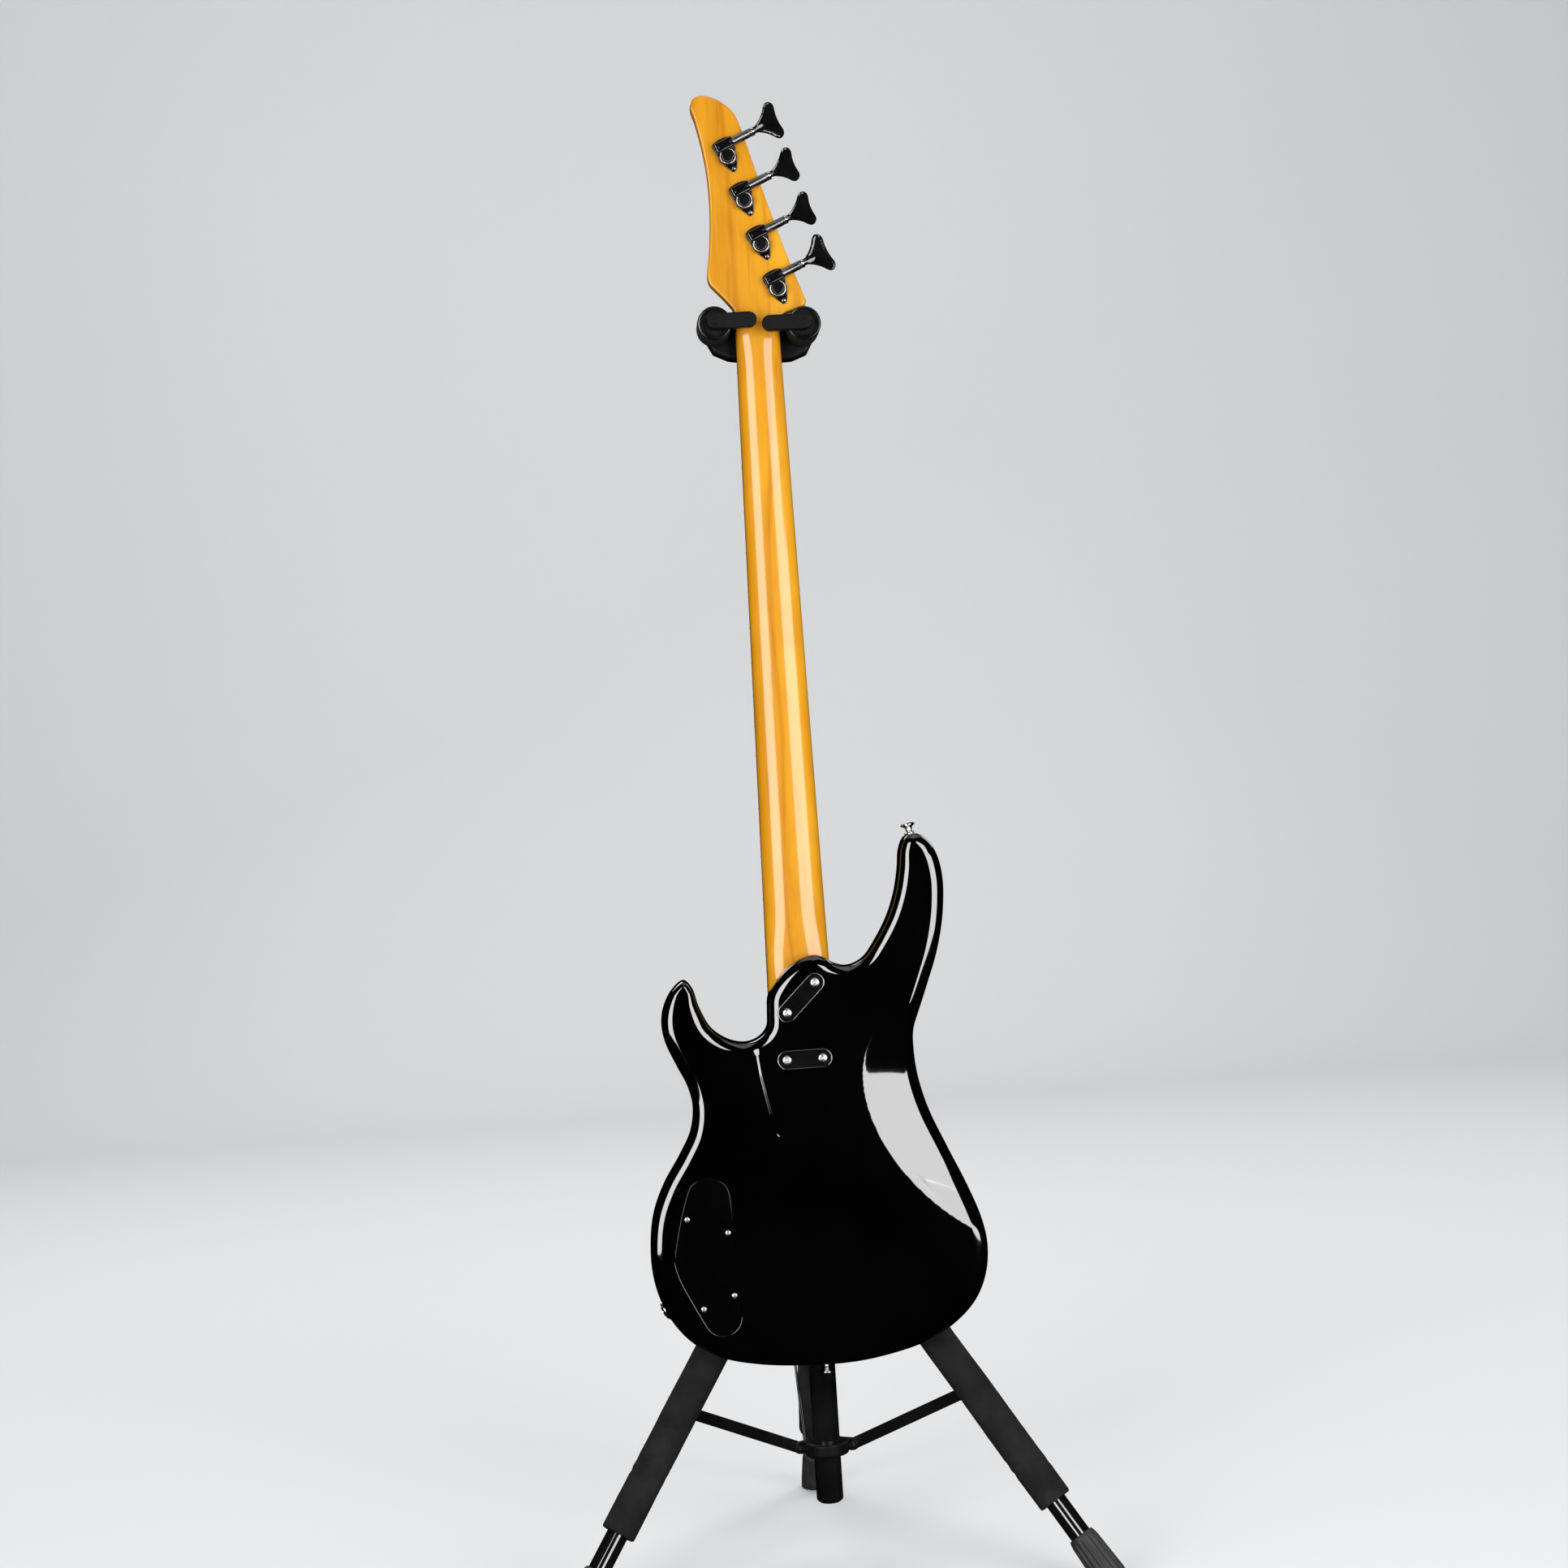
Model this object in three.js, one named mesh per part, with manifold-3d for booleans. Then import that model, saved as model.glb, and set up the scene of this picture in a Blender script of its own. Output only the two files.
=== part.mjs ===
// Electric bass guitar hanging by its headstock in a folding tripod stand.
// Units are millimetres, +Z is up, the floor is z = 0. The guitar's back faces -Y.
import * as THREE from 'three';
import { mergeVertices } from 'three/addons/utils/BufferGeometryUtils.js';
import Module from 'manifold-3d';

const wasm = await Module();
wasm.setup();

// ---------- driving dimensions: stand ----------
const SHAFT_Y = -73.45; // shaft axis, so that the whole footprint is centred on the origin
const GAP = 0.3;
const LOWER_TUBE = { r: 12.7, bore: 10.4, bottom: 60, top: 600 };
const UPPER_TUBE = { r: 10, bore: 8.6, bottom: 480, top: 1128 };
const HUB = { z: 341, pivotR: 31, ringR: 20.5, low: 325, high: 358 };
const LEG_ANGLE = THREE.MathUtils.degToRad(37); // from vertical
const LEG_R = 10;
const LEG_BORE = 8.4;
const LEG_END = 396;
const FOAM = { r: 16.5, bore: 10.3, from: 30, to: 334 };
const FOOT = { from: 371, rTop: 12, rBottom: 14.5 };
const COLLAR = { z: 111, r: 21, h: 12, pivotR: 20 };
const BRACE = { at: 209, side: 19, thick: 2, width: 11, pinR: 2.5 };
const CLUTCH = { low: 574, high: 642, r: 18.5 };
const LEG_AZIMUTHS = { left: 210, right: -30, rear: 90 };

// ---------- driving dimensions: yoke ----------
const ARM_FRONT = -78.5;
const ARM_BACK = -36;
const ARM_R = 8;
const PAD_R = 16;
const LEFT_ARM = { x: -42.7, z: 1173.5 };
const RIGHT_ARM = { x: 40, z: 1169.1 };
const GATE = { length: 44, width: 14.6, front: -88.3, back: -79.1, pinR: 3.6 };

// ---------- driving dimensions: guitar, in its own frame ----------
// x to the right seen from the back, y towards the strings, z along the neck, nut at z = 0.
const GUITAR_AT = [-2.2, -54.1, 1179.8];
const GUITAR_LEAN = THREE.MathUtils.degToRad(1.2);
const BODY_THICK = 40;
const EDGE_ROUND = 8;
const NUT_WIDTH = 40.5;
const NECK_TAPER = 0.0292; // width gained per millimetre down the neck
const NECK_TOP = 4;
const BOARD_TOP = 10;
const BOARD_LENGTH = 658;
const HEEL_END = -700;
const HEEL_BACK = -24;
const HEAD_FRONT = 1;
const HEAD_BACK = -14;
const SADDLE_Z = -864;
const BELLY = { x: 170, z: -760, across: 88, along: 139, depth: 18, turn: 0.8 };
const TUNER_ANGLE = THREE.MathUtils.degToRad(24.3);
const TUNERS = [[-18.2, 147.7], [-5.4, 106.1], [7.5, 64.6], [20.4, 23.1]];
const KEY_TURNS = [30, 41, 41, 0]; // degrees each key is turned about its shaft at rest
const STRING_R = [1.3, 1.05, 0.8, 0.6];
const KNOBS = [[-97, -816], [-101, -857], [-91, -901]];

const mat = (color, roughness, metalness = 0) =>
  new THREE.MeshStandardMaterial({ color, roughness, metalness });
const BLACK_STEEL = () => mat(0x17181a, 0.35, 0.6);
const BLACK_PLASTIC = () => mat(0x141415, 0.45);
const ZINC = () => mat(0x8d8f90, 0.4, 0.9);
const FOAM_GREY = () => mat(0x3a3b3c, 0.9);
const RUBBER = () => mat(0x4a4b4c, 0.8);
const BLACK_LACQUER = () => mat(0x060606, 0.08);
const MAPLE = () => mat(0xc8831f, 0.25);
const ROSEWOOD = () => mat(0x2d1a10, 0.5);
const CHROME = () => mat(0xc9cbcd, 0.15, 1);
const BLACK_METAL = () => mat(0x0d0d0e, 0.2, 0.8);

// ---------- helpers ----------
function signedVolume(position, index) {
  let volume = 0;
  const a = new THREE.Vector3();
  const b = new THREE.Vector3();
  const c = new THREE.Vector3();
  for (let i = 0; i < index.length; i += 3) {
    a.fromBufferAttribute(position, index[i]);
    b.fromBufferAttribute(position, index[i + 1]);
    c.fromBufferAttribute(position, index[i + 2]);
    volume += a.dot(b.cross(c));
  }
  return volume;
}

// Welds the corners, drops faces of no area and turns every face outward.
function closed(geometry) {
  const bare = geometry.clone();
  bare.deleteAttribute('normal');
  bare.deleteAttribute('uv');
  const welded = mergeVertices(bare, 1e-3);
  const old = welded.index.array;
  const kept = [];
  for (let i = 0; i < old.length; i += 3) {
    const [a, b, c] = [old[i], old[i + 1], old[i + 2]];
    if (a !== b && b !== c && c !== a) kept.push(a, b, c);
  }
  if (signedVolume(welded.attributes.position, kept) < 0) {
    for (let i = 0; i < kept.length; i += 3) {
      [kept[i], kept[i + 1]] = [kept[i + 1], kept[i]];
    }
  }
  welded.setIndex(kept);
  return welded;
}

function toSolid(geometry) {
  const welded = closed(geometry);
  return new wasm.Manifold(new wasm.Mesh({
    numProp: 3,
    vertProperties: new Float32Array(welded.attributes.position.array),
    triVerts: new Uint32Array(welded.index.array),
  }));
}

function fromSolid(solid) {
  const mesh = solid.getMesh();
  const geometry = new THREE.BufferGeometry();
  const stride = mesh.numProp;
  const count = mesh.vertProperties.length / stride;
  const position = new Float32Array(count * 3);
  for (let i = 0; i < count; i += 1) {
    for (let k = 0; k < 3; k += 1) position[3 * i + k] = mesh.vertProperties[stride * i + k];
  }
  geometry.setAttribute('position', new THREE.BufferAttribute(position, 3));
  geometry.setIndex(Array.from(mesh.triVerts));
  return geometry;
}

const join = (first, ...others) =>
  fromSolid(others.reduce((sum, g) => sum.add(toSolid(g)), toSolid(first)));
const cut = (first, ...others) =>
  fromSolid(others.reduce((rest, g) => rest.subtract(toSolid(g)), toSolid(first)));

function addMesh(group, name, geometry, material) {
  const plain = closed(geometry);
  plain.computeVertexNormals();
  const mesh = new THREE.Mesh(plain, material);
  mesh.name = name;
  group.add(mesh);
  return mesh;
}

// Cylinder along Z from z0 to z1.
function rod(r, z0, z1, segments = 24, rTop = r) {
  const g = new THREE.CylinderGeometry(rTop, r, z1 - z0, segments);
  return g.rotateX(Math.PI / 2).translate(0, 0, (z0 + z1) / 2);
}

// Cylinder along Y from y0 to y1, centred on x, z.
function rodY(r, y0, y1, x, z, segments = 24) {
  const g = new THREE.CylinderGeometry(r, r, y1 - y0, segments);
  return g.translate(x, (y0 + y1) / 2, z);
}

// Solid of revolution about Z; the profile is a list of [radius, z].
function turned(profile, segments = 28) {
  const points = profile.map(([r, z]) => new THREE.Vector2(r, z));
  return new THREE.LatheGeometry(points, segments).rotateX(Math.PI / 2);
}

function box(x0, x1, y0, y1, z0, z1) {
  const g = new THREE.BoxGeometry(x1 - x0, y1 - y0, z1 - z0);
  return g.translate((x0 + x1) / 2, (y0 + y1) / 2, (z0 + z1) / 2);
}

// Plate whose outline lies in x, z and whose thickness runs from y0 to y1.
function plate(shape, y0, y1, bevel = 0, bevelSegments = 1, curveSegments = 10) {
  const g = new THREE.ExtrudeGeometry(shape, {
    depth: y1 - y0 - 2 * bevel,
    bevelEnabled: bevel > 0,
    bevelThickness: bevel,
    bevelSize: bevel,
    bevelOffset: -bevel,
    bevelSegments,
    curveSegments,
  });
  return g.rotateX(Math.PI / 2).translate(0, y1 - bevel, 0);
}

// Closed smooth outline through hand-picked points.
function smoothOutline(points, samples) {
  const curve = new THREE.CatmullRomCurve3(
    points.map(([x, z]) => new THREE.Vector3(x, z, 0)), true, 'centripetal');
  const ring = curve.getSpacedPoints(samples).slice(0, -1);
  return new THREE.Shape(ring.map((p) => new THREE.Vector2(p.x, p.y)));
}

const polygon = (points) => new THREE.Shape(points.map(([x, z]) => new THREE.Vector2(x, z)));

// Slot shape between two end centres.
function pill(a, b, r) {
  const shape = new THREE.Shape();
  const angle = Math.atan2(b[1] - a[1], b[0] - a[0]);
  shape.absarc(b[0], b[1], r, angle - Math.PI / 2, angle + Math.PI / 2, false);
  shape.absarc(a[0], a[1], r, angle + Math.PI / 2, angle + 3 * Math.PI / 2, false);
  shape.closePath();
  return shape;
}

// Path through corner points, sampled exactly at the corners.
class CornerPath extends THREE.Curve {
  constructor(points) {
    super();
    this.points = points;
  }

  getPoint(t) {
    const last = this.points.length - 1;
    const i = Math.min(Math.floor(t * last + 1e-9), last - 1);
    return this.points[i].clone().lerp(this.points[i + 1], t * last - i);
  }

  getPointAt(t) {
    return this.getPoint(t);
  }

  getTangent(t) {
    const last = this.points.length - 1;
    const i = Math.round(t * last);
    const before = this.points[Math.max(i - 1, 0)];
    const here = this.points[i];
    const after = this.points[Math.min(i + 1, last)];
    const into = here.clone().sub(before).normalize();
    const out = after.clone().sub(here).normalize();
    return into.add(out).normalize();
  }

  getTangentAt(t) {
    return this.getTangent(t);
  }
}

function wire(points, r, sides = 6) {
  const ring = [];
  for (let i = 0; i < sides; i += 1) {
    const a = (2 * Math.PI * i) / sides;
    ring.push(new THREE.Vector2(r * Math.cos(a), r * Math.sin(a)));
  }
  return new THREE.ExtrudeGeometry(new THREE.Shape(ring), {
    steps: points.length - 1,
    extrudePath: new CornerPath(points),
    bevelEnabled: false,
  });
}

// ---------- stand ----------
function makeLowerTube(stand) {
  const t = LOWER_TUBE;
  const profile = [[0, t.bottom], [t.r - 0.8, t.bottom], [t.r, t.bottom + 0.8], [t.r, t.top],
    [t.bore, t.top], [t.bore, t.bottom + 6], [0, t.bottom + 6]];
  addMesh(stand, 'lower_tube', turned(profile, 32), BLACK_STEEL());
}

function makeUpperTube(stand) {
  const t = UPPER_TUBE;
  const profile = [[t.bore, t.bottom], [t.r, t.bottom], [t.r, t.top], [t.bore, t.top],
    [t.bore, t.bottom]];
  addMesh(stand, 'upper_tube', turned(profile, 28), BLACK_STEEL());
}

// Leg hub: a sleeve that slides on the shaft, with a pair of ears for each leg.
function makeHub(stand) {
  const sleeve = turned([[13, HUB.low], [HUB.ringR, HUB.low], [HUB.ringR, HUB.high],
    [13, HUB.high], [13, HUB.low]], 28);
  const ears = [];
  for (const azimuth of Object.values(LEG_AZIMUTHS)) {
    for (const side of [-1, 1]) {
      const near = side * (LEG_R + 0.5);
      const far = side * (LEG_R + 4);
      const ear = box(12, 32, Math.min(near, far), Math.max(near, far), HUB.low + 2, HUB.high - 4);
      const tip = rodY(12.5, Math.min(near, far), Math.max(near, far), HUB.pivotR, HUB.z, 20);
      const eye = rodY(3, Math.min(near, far) - 2, Math.max(near, far) + 2, HUB.pivotR, HUB.z, 12);
      const clearBore = rod(13, HUB.low - 1, HUB.high + 1, 28);
      ears.push(cut(join(ear, tip), eye, clearBore)
        .rotateZ(THREE.MathUtils.degToRad(azimuth)));
    }
  }
  addMesh(stand, 'leg_hub', join(sleeve, ...ears), BLACK_PLASTIC());
}

// Turns something built along -Z from the pivot into its place in the leg's plane.
const alongLeg = (g) => g.rotateY(-LEG_ANGLE).translate(HUB.pivotR, 0, HUB.z);

function makeLeg(stand, side) {
  const turn = THREE.MathUtils.degToRad(LEG_AZIMUTHS[side]);
  const outer = side === 'left' ? -1 : 1;
  const pin = (r, from, to) => {
    const y0 = Math.min(outer * from, outer * to);
    return rodY(r, y0, y0 + Math.abs(to - from), 0, -BRACE.at, 12);
  };
  const crossPin = rodY(2.7, -(LEG_R + 3.6), LEG_R + 3.6, 0, 0, 12);
  const head = rodY(LEG_R, -LEG_R + 0.5, LEG_R - 0.5, 0, 0, 20);
  const solidTube = join(rod(LEG_R, -LEG_END, 0, 20), head, crossPin);
  const bore = rod(LEG_BORE, -LEG_END - 1, -16, 20);
  const tube = join(cut(solidTube, bore), pin(BRACE.pinR, 5, BRACE.side - GAP));
  addMesh(stand, `${side}_leg_tube`, alongLeg(tube).rotateZ(turn), BLACK_STEEL());

  const sleeve = turned([[FOAM.bore, -FOAM.to], [FOAM.r - 1.5, -FOAM.to], [FOAM.r, -FOAM.to + 1.5],
    [FOAM.r, -FOAM.from - 1.5], [FOAM.r - 1.5, -FOAM.from], [FOAM.bore, -FOAM.from],
    [FOAM.bore, -FOAM.to]], 24);
  const foam = cut(sleeve, pin(BRACE.pinR + 0.5, 5, 25));
  addMesh(stand, `${side}_leg_foam`, alongLeg(foam).rotateZ(turn), FOAM_GREY());

  const boot = turned([[0, -450], [FOOT.rBottom + 0.5, -450], [FOOT.rBottom, -430],
    [FOOT.rTop, -FOOT.from - 1], [FOOT.rTop - 1, -FOOT.from], [0, -FOOT.from]], 24);
  const socket = rod(LEG_R + GAP, -LEG_END - GAP, -FOOT.from + 5, 20);
  const foot = cut(alongLeg(cut(boot, socket)), box(200, 400, -60, 60, -80, 0));
  addMesh(stand, `${side}_foot`, foot.rotateZ(turn), RUBBER());
}

// Collar near the bottom of the shaft that carries the three braces.
function makeCollar(stand) {
  const low = COLLAR.z - COLLAR.h / 2;
  const high = COLLAR.z + COLLAR.h / 2;
  const ring = turned([[13, low], [COLLAR.r - 1, low], [COLLAR.r, low + 1], [COLLAR.r, high - 1],
    [COLLAR.r - 1, high], [13, high], [13, low]], 28);
  const lugs = Object.entries(LEG_AZIMUTHS).map(([side, azimuth]) => {
    const outer = side === 'left' ? -1 : 1;
    const y0 = Math.min(outer * 14.5, outer * (BRACE.side - GAP));
    const y1 = Math.max(outer * 14.5, outer * (BRACE.side - GAP));
    const body = box(2, COLLAR.pivotR, y0, y1, low, high);
    const tip = rodY(COLLAR.h / 2, y0, y1, COLLAR.pivotR, COLLAR.z, 16);
    const eye = rodY(BRACE.pinR + 0.3, y0 - 3, y1 + 3, COLLAR.pivotR, COLLAR.z, 12);
    return cut(join(body, tip), eye).rotateZ(THREE.MathUtils.degToRad(azimuth));
  });
  addMesh(stand, 'brace_collar', join(ring, ...lugs), BLACK_PLASTIC());
}

// Flat brace from the collar up to its leg, with the collar pin fixed in it.
function makeBrace(stand, side) {
  const outer = side === 'left' ? -1 : 1;
  const legX = HUB.pivotR + BRACE.at * Math.sin(LEG_ANGLE);
  const legZ = HUB.z - BRACE.at * Math.cos(LEG_ANGLE);
  const strip = pill([COLLAR.pivotR, COLLAR.z], [legX, legZ], BRACE.width / 2);
  const y0 = Math.min(outer * BRACE.side, outer * (BRACE.side + BRACE.thick));
  const bar = plate(strip, y0, y0 + BRACE.thick, 0, 1, 8);
  const from = outer * 15;
  const to = outer * (BRACE.side + 1);
  const pin = rodY(BRACE.pinR, Math.min(from, to), Math.max(from, to),
    COLLAR.pivotR, COLLAR.z, 12);
  const brace = join(bar, pin).rotateZ(THREE.MathUtils.degToRad(LEG_AZIMUTHS[side]));
  addMesh(stand, `${side}_brace`, brace, BLACK_STEEL());
}

// Height clutch: a housing on top of the lower tube and its squeeze lever behind.
function makeClutch(stand) {
  const c = CLUTCH;
  const shell = turned([[13, c.low], [c.r - 3, c.low], [c.r, c.low + 6], [c.r, c.high - 6],
    [c.r - 3, c.high], [10.4, c.high], [10.4, LOWER_TUBE.top + GAP], [13, LOWER_TUBE.top + GAP],
    [13, c.low]], 28);
  const cheek = (x0, x1) => join(box(x0, x1, 14, 27, 617, 631), rodX(7, x0, x1, 27, 624, 16));
  const eye = rodX(2.8, -12, 12, 27, 624, 12);
  const bore = rod(15, c.low, c.high, 28);
  const cheeks = [cut(cheek(-9.5, -6.5), eye, bore), cut(cheek(6.5, 9.5), eye, bore)];
  addMesh(stand, 'clutch_housing', join(shell, ...cheeks), BLACK_PLASTIC());

  const profile = polygon([[21.5, 626], [24, 630], [29.5, 630], [33, 626], [36, 604], [39, 582],
    [36.5, 572], [33.5, 572], [33, 584], [29, 606], [24.5, 618], [22, 620]]);
  const blade = new THREE.ExtrudeGeometry(profile, { depth: 12, bevelEnabled: false })
    .rotateX(Math.PI / 2).rotateZ(Math.PI / 2).translate(-6, 0, 0);
  const lever = join(blade, rodX(2.5, -9, 9, 27, 624, 12));
  addMesh(stand, 'clutch_lever', lever, BLACK_PLASTIC());
}

// Cylinder along X from x0 to x1, centred on y, z.
function rodX(r, x0, x1, y, z, segments = 24) {
  const g = new THREE.CylinderGeometry(r, r, x1 - x0, segments);
  return g.rotateZ(Math.PI / 2).translate((x0 + x1) / 2, y, z);
}

// ---------- yoke ----------
function makeYokeBase(stand) {
  const socket = turned([[UPPER_TUBE.r + GAP, 1098], [15, 1098], [16, 1102], [16, 1134],
    [0, 1134], [0, UPPER_TUBE.top + GAP], [UPPER_TUBE.r + GAP, UPPER_TUBE.top + GAP],
    [UPPER_TUBE.r + GAP, 1098]], 24);
  const slidePost = box(-11, 11, -6, 6, 1132, 1176);
  addMesh(stand, 'yoke_base', join(socket, slidePost), BLACK_PLASTIC());
}

function makeYokeCarriage(stand) {
  const tilt = (RIGHT_ARM.z - LEFT_ARM.z) / (RIGHT_ARM.x - LEFT_ARM.x);
  const lift = (x) => tilt * x;
  const outline = [[-51, 1172], [-50, 1160], [-44, 1149], [-30, 1143], [-10, 1141], [10, 1141],
    [30, 1143], [44, 1149], [50, 1160], [51, 1172], [46, 1181], [24, 1183], [-24, 1183],
    [-46, 1181]].map(([x, z]) => [x, z + 1 + lift(x)]);
  const saddle = plate(polygon(outline), ARM_BACK, -14, 3, 2);
  const back = plate(polygon([[-18, 1139], [18, 1139], [18, 1181], [-18, 1181]]), -16, 14, 3, 2);
  const slot = box(-11.4, 11.4, -6.4, 6.4, 1100, 1200);
  const arms = [LEFT_ARM, RIGHT_ARM].map(({ x, z }) =>
    join(rodY(ARM_R, ARM_FRONT + 1, ARM_BACK + 4, x, z, 20),
      rodY(PAD_R - 0.4, ARM_FRONT, ARM_FRONT + 3.5, x, z, 28),
      rodY(GATE.pinR, -85.5, ARM_FRONT + 1, x, z + 0.8, 16)));
  addMesh(stand, 'yoke_carriage', cut(join(saddle, back, ...arms), slot), BLACK_PLASTIC());
}

function makeArmPad(stand, name, arm) {
  const front = ARM_FRONT + 3.5 + GAP;
  const pad = new THREE.LatheGeometry([[ARM_R + GAP, front], [PAD_R - 1.2, front],
    [PAD_R, front + 1.2], [PAD_R, ARM_BACK - 1.5], [PAD_R - 1.2, ARM_BACK - GAP],
    [ARM_R + GAP, ARM_BACK - GAP], [ARM_R + GAP, front]]
    .map(([r, y]) => new THREE.Vector2(r, y)), 28).translate(arm.x, 0, arm.z);
  addMesh(stand, name, pad, FOAM_GREY());
}

// Gate that swings across the front of an arm and keeps the neck in the yoke.
function makeGate(stand, name, arm, towards) {
  const r = GATE.width / 2;
  const reach = GATE.length - r - 5;
  const z = arm.z + 0.8;
  const shape = pill([Math.min(arm.x, arm.x + towards * reach), z],
    [Math.max(arm.x, arm.x + towards * reach), z], r);
  const blade = plate(shape, GATE.front, GATE.back, 1.5, 2, 8);
  const eye = rodY(GATE.pinR + 0.3, -86.2, GATE.back + 3, arm.x, z, 16);
  addMesh(stand, name, cut(blade, eye), BLACK_PLASTIC());
}

// ---------- guitar ----------
const BODY_OUTLINE = [
  [-107, -609], [-118, -616.5], [-127, -632], [-130, -647], [-127.5, -664], [-118, -687],
  [-109.5, -706], [-106, -726], [-109.5, -748], [-120.5, -769], [-137, -795], [-148, -821],
  [-152.5, -848], [-152, -875], [-146, -900], [-135, -922], [-118, -941], [-94, -955],
  [-60, -963.5], [-15, -967.6], [29, -967.3], [64, -962], [93, -954], [120.5, -939.5],
  [142, -919], [153, -896], [156.5, -870], [153, -845], [143, -816], [126, -777],
  [111.5, -742], [103.5, -711], [101, -686], [101.5, -668], [106.5, -652], [116, -627],
  [126, -600], [132.5, -575], [136, -551], [136.6, -529], [133, -509], [125.5, -495],
  [114.5, -487.5], [104.5, -490], [99, -501], [96.5, -519.5], [92, -540.5], [84, -562],
  [71.5, -583.5], [58.5, -599.5], [44, -605], [31, -601.5], [24, -596.5], [14, -593],
  [2, -595.5], [-11, -603.5], [-22, -615], [-30.5, -629], [-32, -643], [-33.5, -657],
  [-41, -665.5], [-53, -669.5], [-68, -666.5], [-84, -655], [-94.5, -634], [-99.5, -617],
];

const COVER_OUTLINE = [
  [-116, -800], [-109, -792], [-98.5, -789], [-86, -792], [-78.5, -799], [-76.5, -812],
  [-73.5, -910], [-74.5, -924], [-82, -932], [-92, -934.6], [-102, -930], [-108.5, -918],
  [-132.7, -869.5], [-128, -842],
];

function inset(points, distance) {
  const n = points.length;
  return points.map(([x, z], i) => {
    const [px, pz] = points[(i + n - 1) % n];
    const [nx, nz] = points[(i + 1) % n];
    const tangent = new THREE.Vector2(nx - px, nz - pz).normalize();
    return [x - tangent.y * distance, z + tangent.x * distance];
  });
}

const neckHalfWidth = (z) => (NUT_WIDTH - NECK_TAPER * z) / 2;
const JACK = { x: -141.5, y: -20, z: -910, angle: THREE.MathUtils.degToRad(205) };
const alongJack = (g) => g.rotateY(-Math.PI / 2 - JACK.angle + Math.PI)
  .translate(JACK.x, JACK.y, JACK.z);

const atHorn = (g) => g.rotateY(-0.2).translate(110.3, -20, -487.8);
const atTail = (g) => g.rotateY(Math.PI).translate(2.1, -20, -967.6);

// Shallow bowl that scoops the player's side of the waist out of the back.
function bellyCutter() {
  const rim = 1.25;
  const surface = (rho) => -BODY_THICK + BELLY.depth * (1 - rho * rho);
  const profile = [new THREE.Vector2(0, -70), new THREE.Vector2(rim, -70)];
  for (let k = 12; k >= 0; k -= 1) {
    profile.push(new THREE.Vector2((rim * k) / 12, surface((rim * k) / 12)));
  }
  return new THREE.LatheGeometry(profile, 48).scale(BELLY.across, 1, BELLY.along)
    .rotateY(-BELLY.turn).translate(BELLY.x, 0, BELLY.z);
}

function makeBody(guitar) {
  const blank = plate(smoothOutline(BODY_OUTLINE, 132), -BODY_THICK, 0, EDGE_ROUND, 3);
  const wide = neckHalfWidth(-640) + 0.4;
  const pocket = box(-wide - 1, wide + 1, HEEL_BACK - GAP, 10, HEEL_END - GAP, -560);
  const pickups = [-730, -800].map((z) => box(-47, 47, -22, 5, z - 10, z + 10));
  const coverRecess = plate(polygon(inset(COVER_OUTLINE, -0.4)), -50, -36.8);
  const cavity = plate(polygon(inset(COVER_OUTLINE, 5)), -40, -6);
  const shaftHoles = KNOBS.map(([x, z]) => rodY(3.9, -10, 5, x, z, 16));
  const bellyCut = bellyCutter();
  const jackHole = alongJack(rod(8.3, -60, 30, 20));
  const strapHoles = [atHorn, atTail].flatMap((at) =>
    [at(rod(2.4, -13, 2, 12)), at(rod(6, 0, 20, 20))]);
  addMesh(guitar, 'body', cut(blank, pocket, ...pickups, coverRecess, cavity, ...shaftHoles,
    bellyCut, jackHole, ...strapHoles), BLACK_LACQUER());
}

// Neck shaft: flat on top, rounded behind, blended into the headstock and the heel.
function neckShaft() {
  const stations = [6, 0, -12, -40, -150, -300, -432, -540, -585, -612, -632, -660];
  const backs = [-13.6, -12.2, -11.2, -11, -12, -13.2, -14.2, -15, -15.8, -18, -22.5, HEEL_BACK];
  const ring = 15;
  const vertices = [];
  const faces = [];
  stations.forEach((z, s) => {
    const w = neckHalfWidth(Math.min(z, 0));
    vertices.push(-w, NECK_TOP, z, w, NECK_TOP, z);
    for (let i = 0; i < ring; i += 1) {
      const a = (Math.PI * i) / (ring - 1);
      const round = Math.sin(a) ** 0.8;
      vertices.push(w * Math.cos(a), 1.5 - (1.5 - backs[s]) * round, z);
    }
  });
  const n = ring + 2;
  for (let s = 0; s + 1 < stations.length; s += 1) {
    for (let i = 0; i < n; i += 1) {
      const a = s * n + i;
      const b = s * n + ((i + 1) % n);
      faces.push(a, b, b + n, a, b + n, a + n);
    }
  }
  const last = (stations.length - 1) * n;
  for (let i = 1; i + 1 < n; i += 1) {
    faces.push(0, i + 1, i, last, last + i, last + i + 1);
  }
  const g = new THREE.BufferGeometry();
  g.setAttribute('position', new THREE.Float32BufferAttribute(vertices, 3));
  g.setIndex(faces);
  return g;
}

const HEAD_OUTLINE = [
  [-20.3, -4], [-21.5, 6], [-28.3, 15.7], [-36.5, 25], [-42.6, 32.5], [-43.8, 40], [-41.2, 58],
  [-38.6, 84], [-37.6, 107], [-38.4, 134], [-41.6, 159.6], [-46.4, 183], [-50, 197],
  [-47.5, 204], [-40, 207], [-29, 204.5], [-17, 197], [-8.5, 187], [-5, 178], [-0.5, 163],
  [7.7, 133.5], [20, 91.5], [33.4, 48.5], [42.6, 22.5], [46, 11], [44, 7.2], [33.5, 3.6],
  [24.5, 0.4], [20.4, -4],
];

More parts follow.
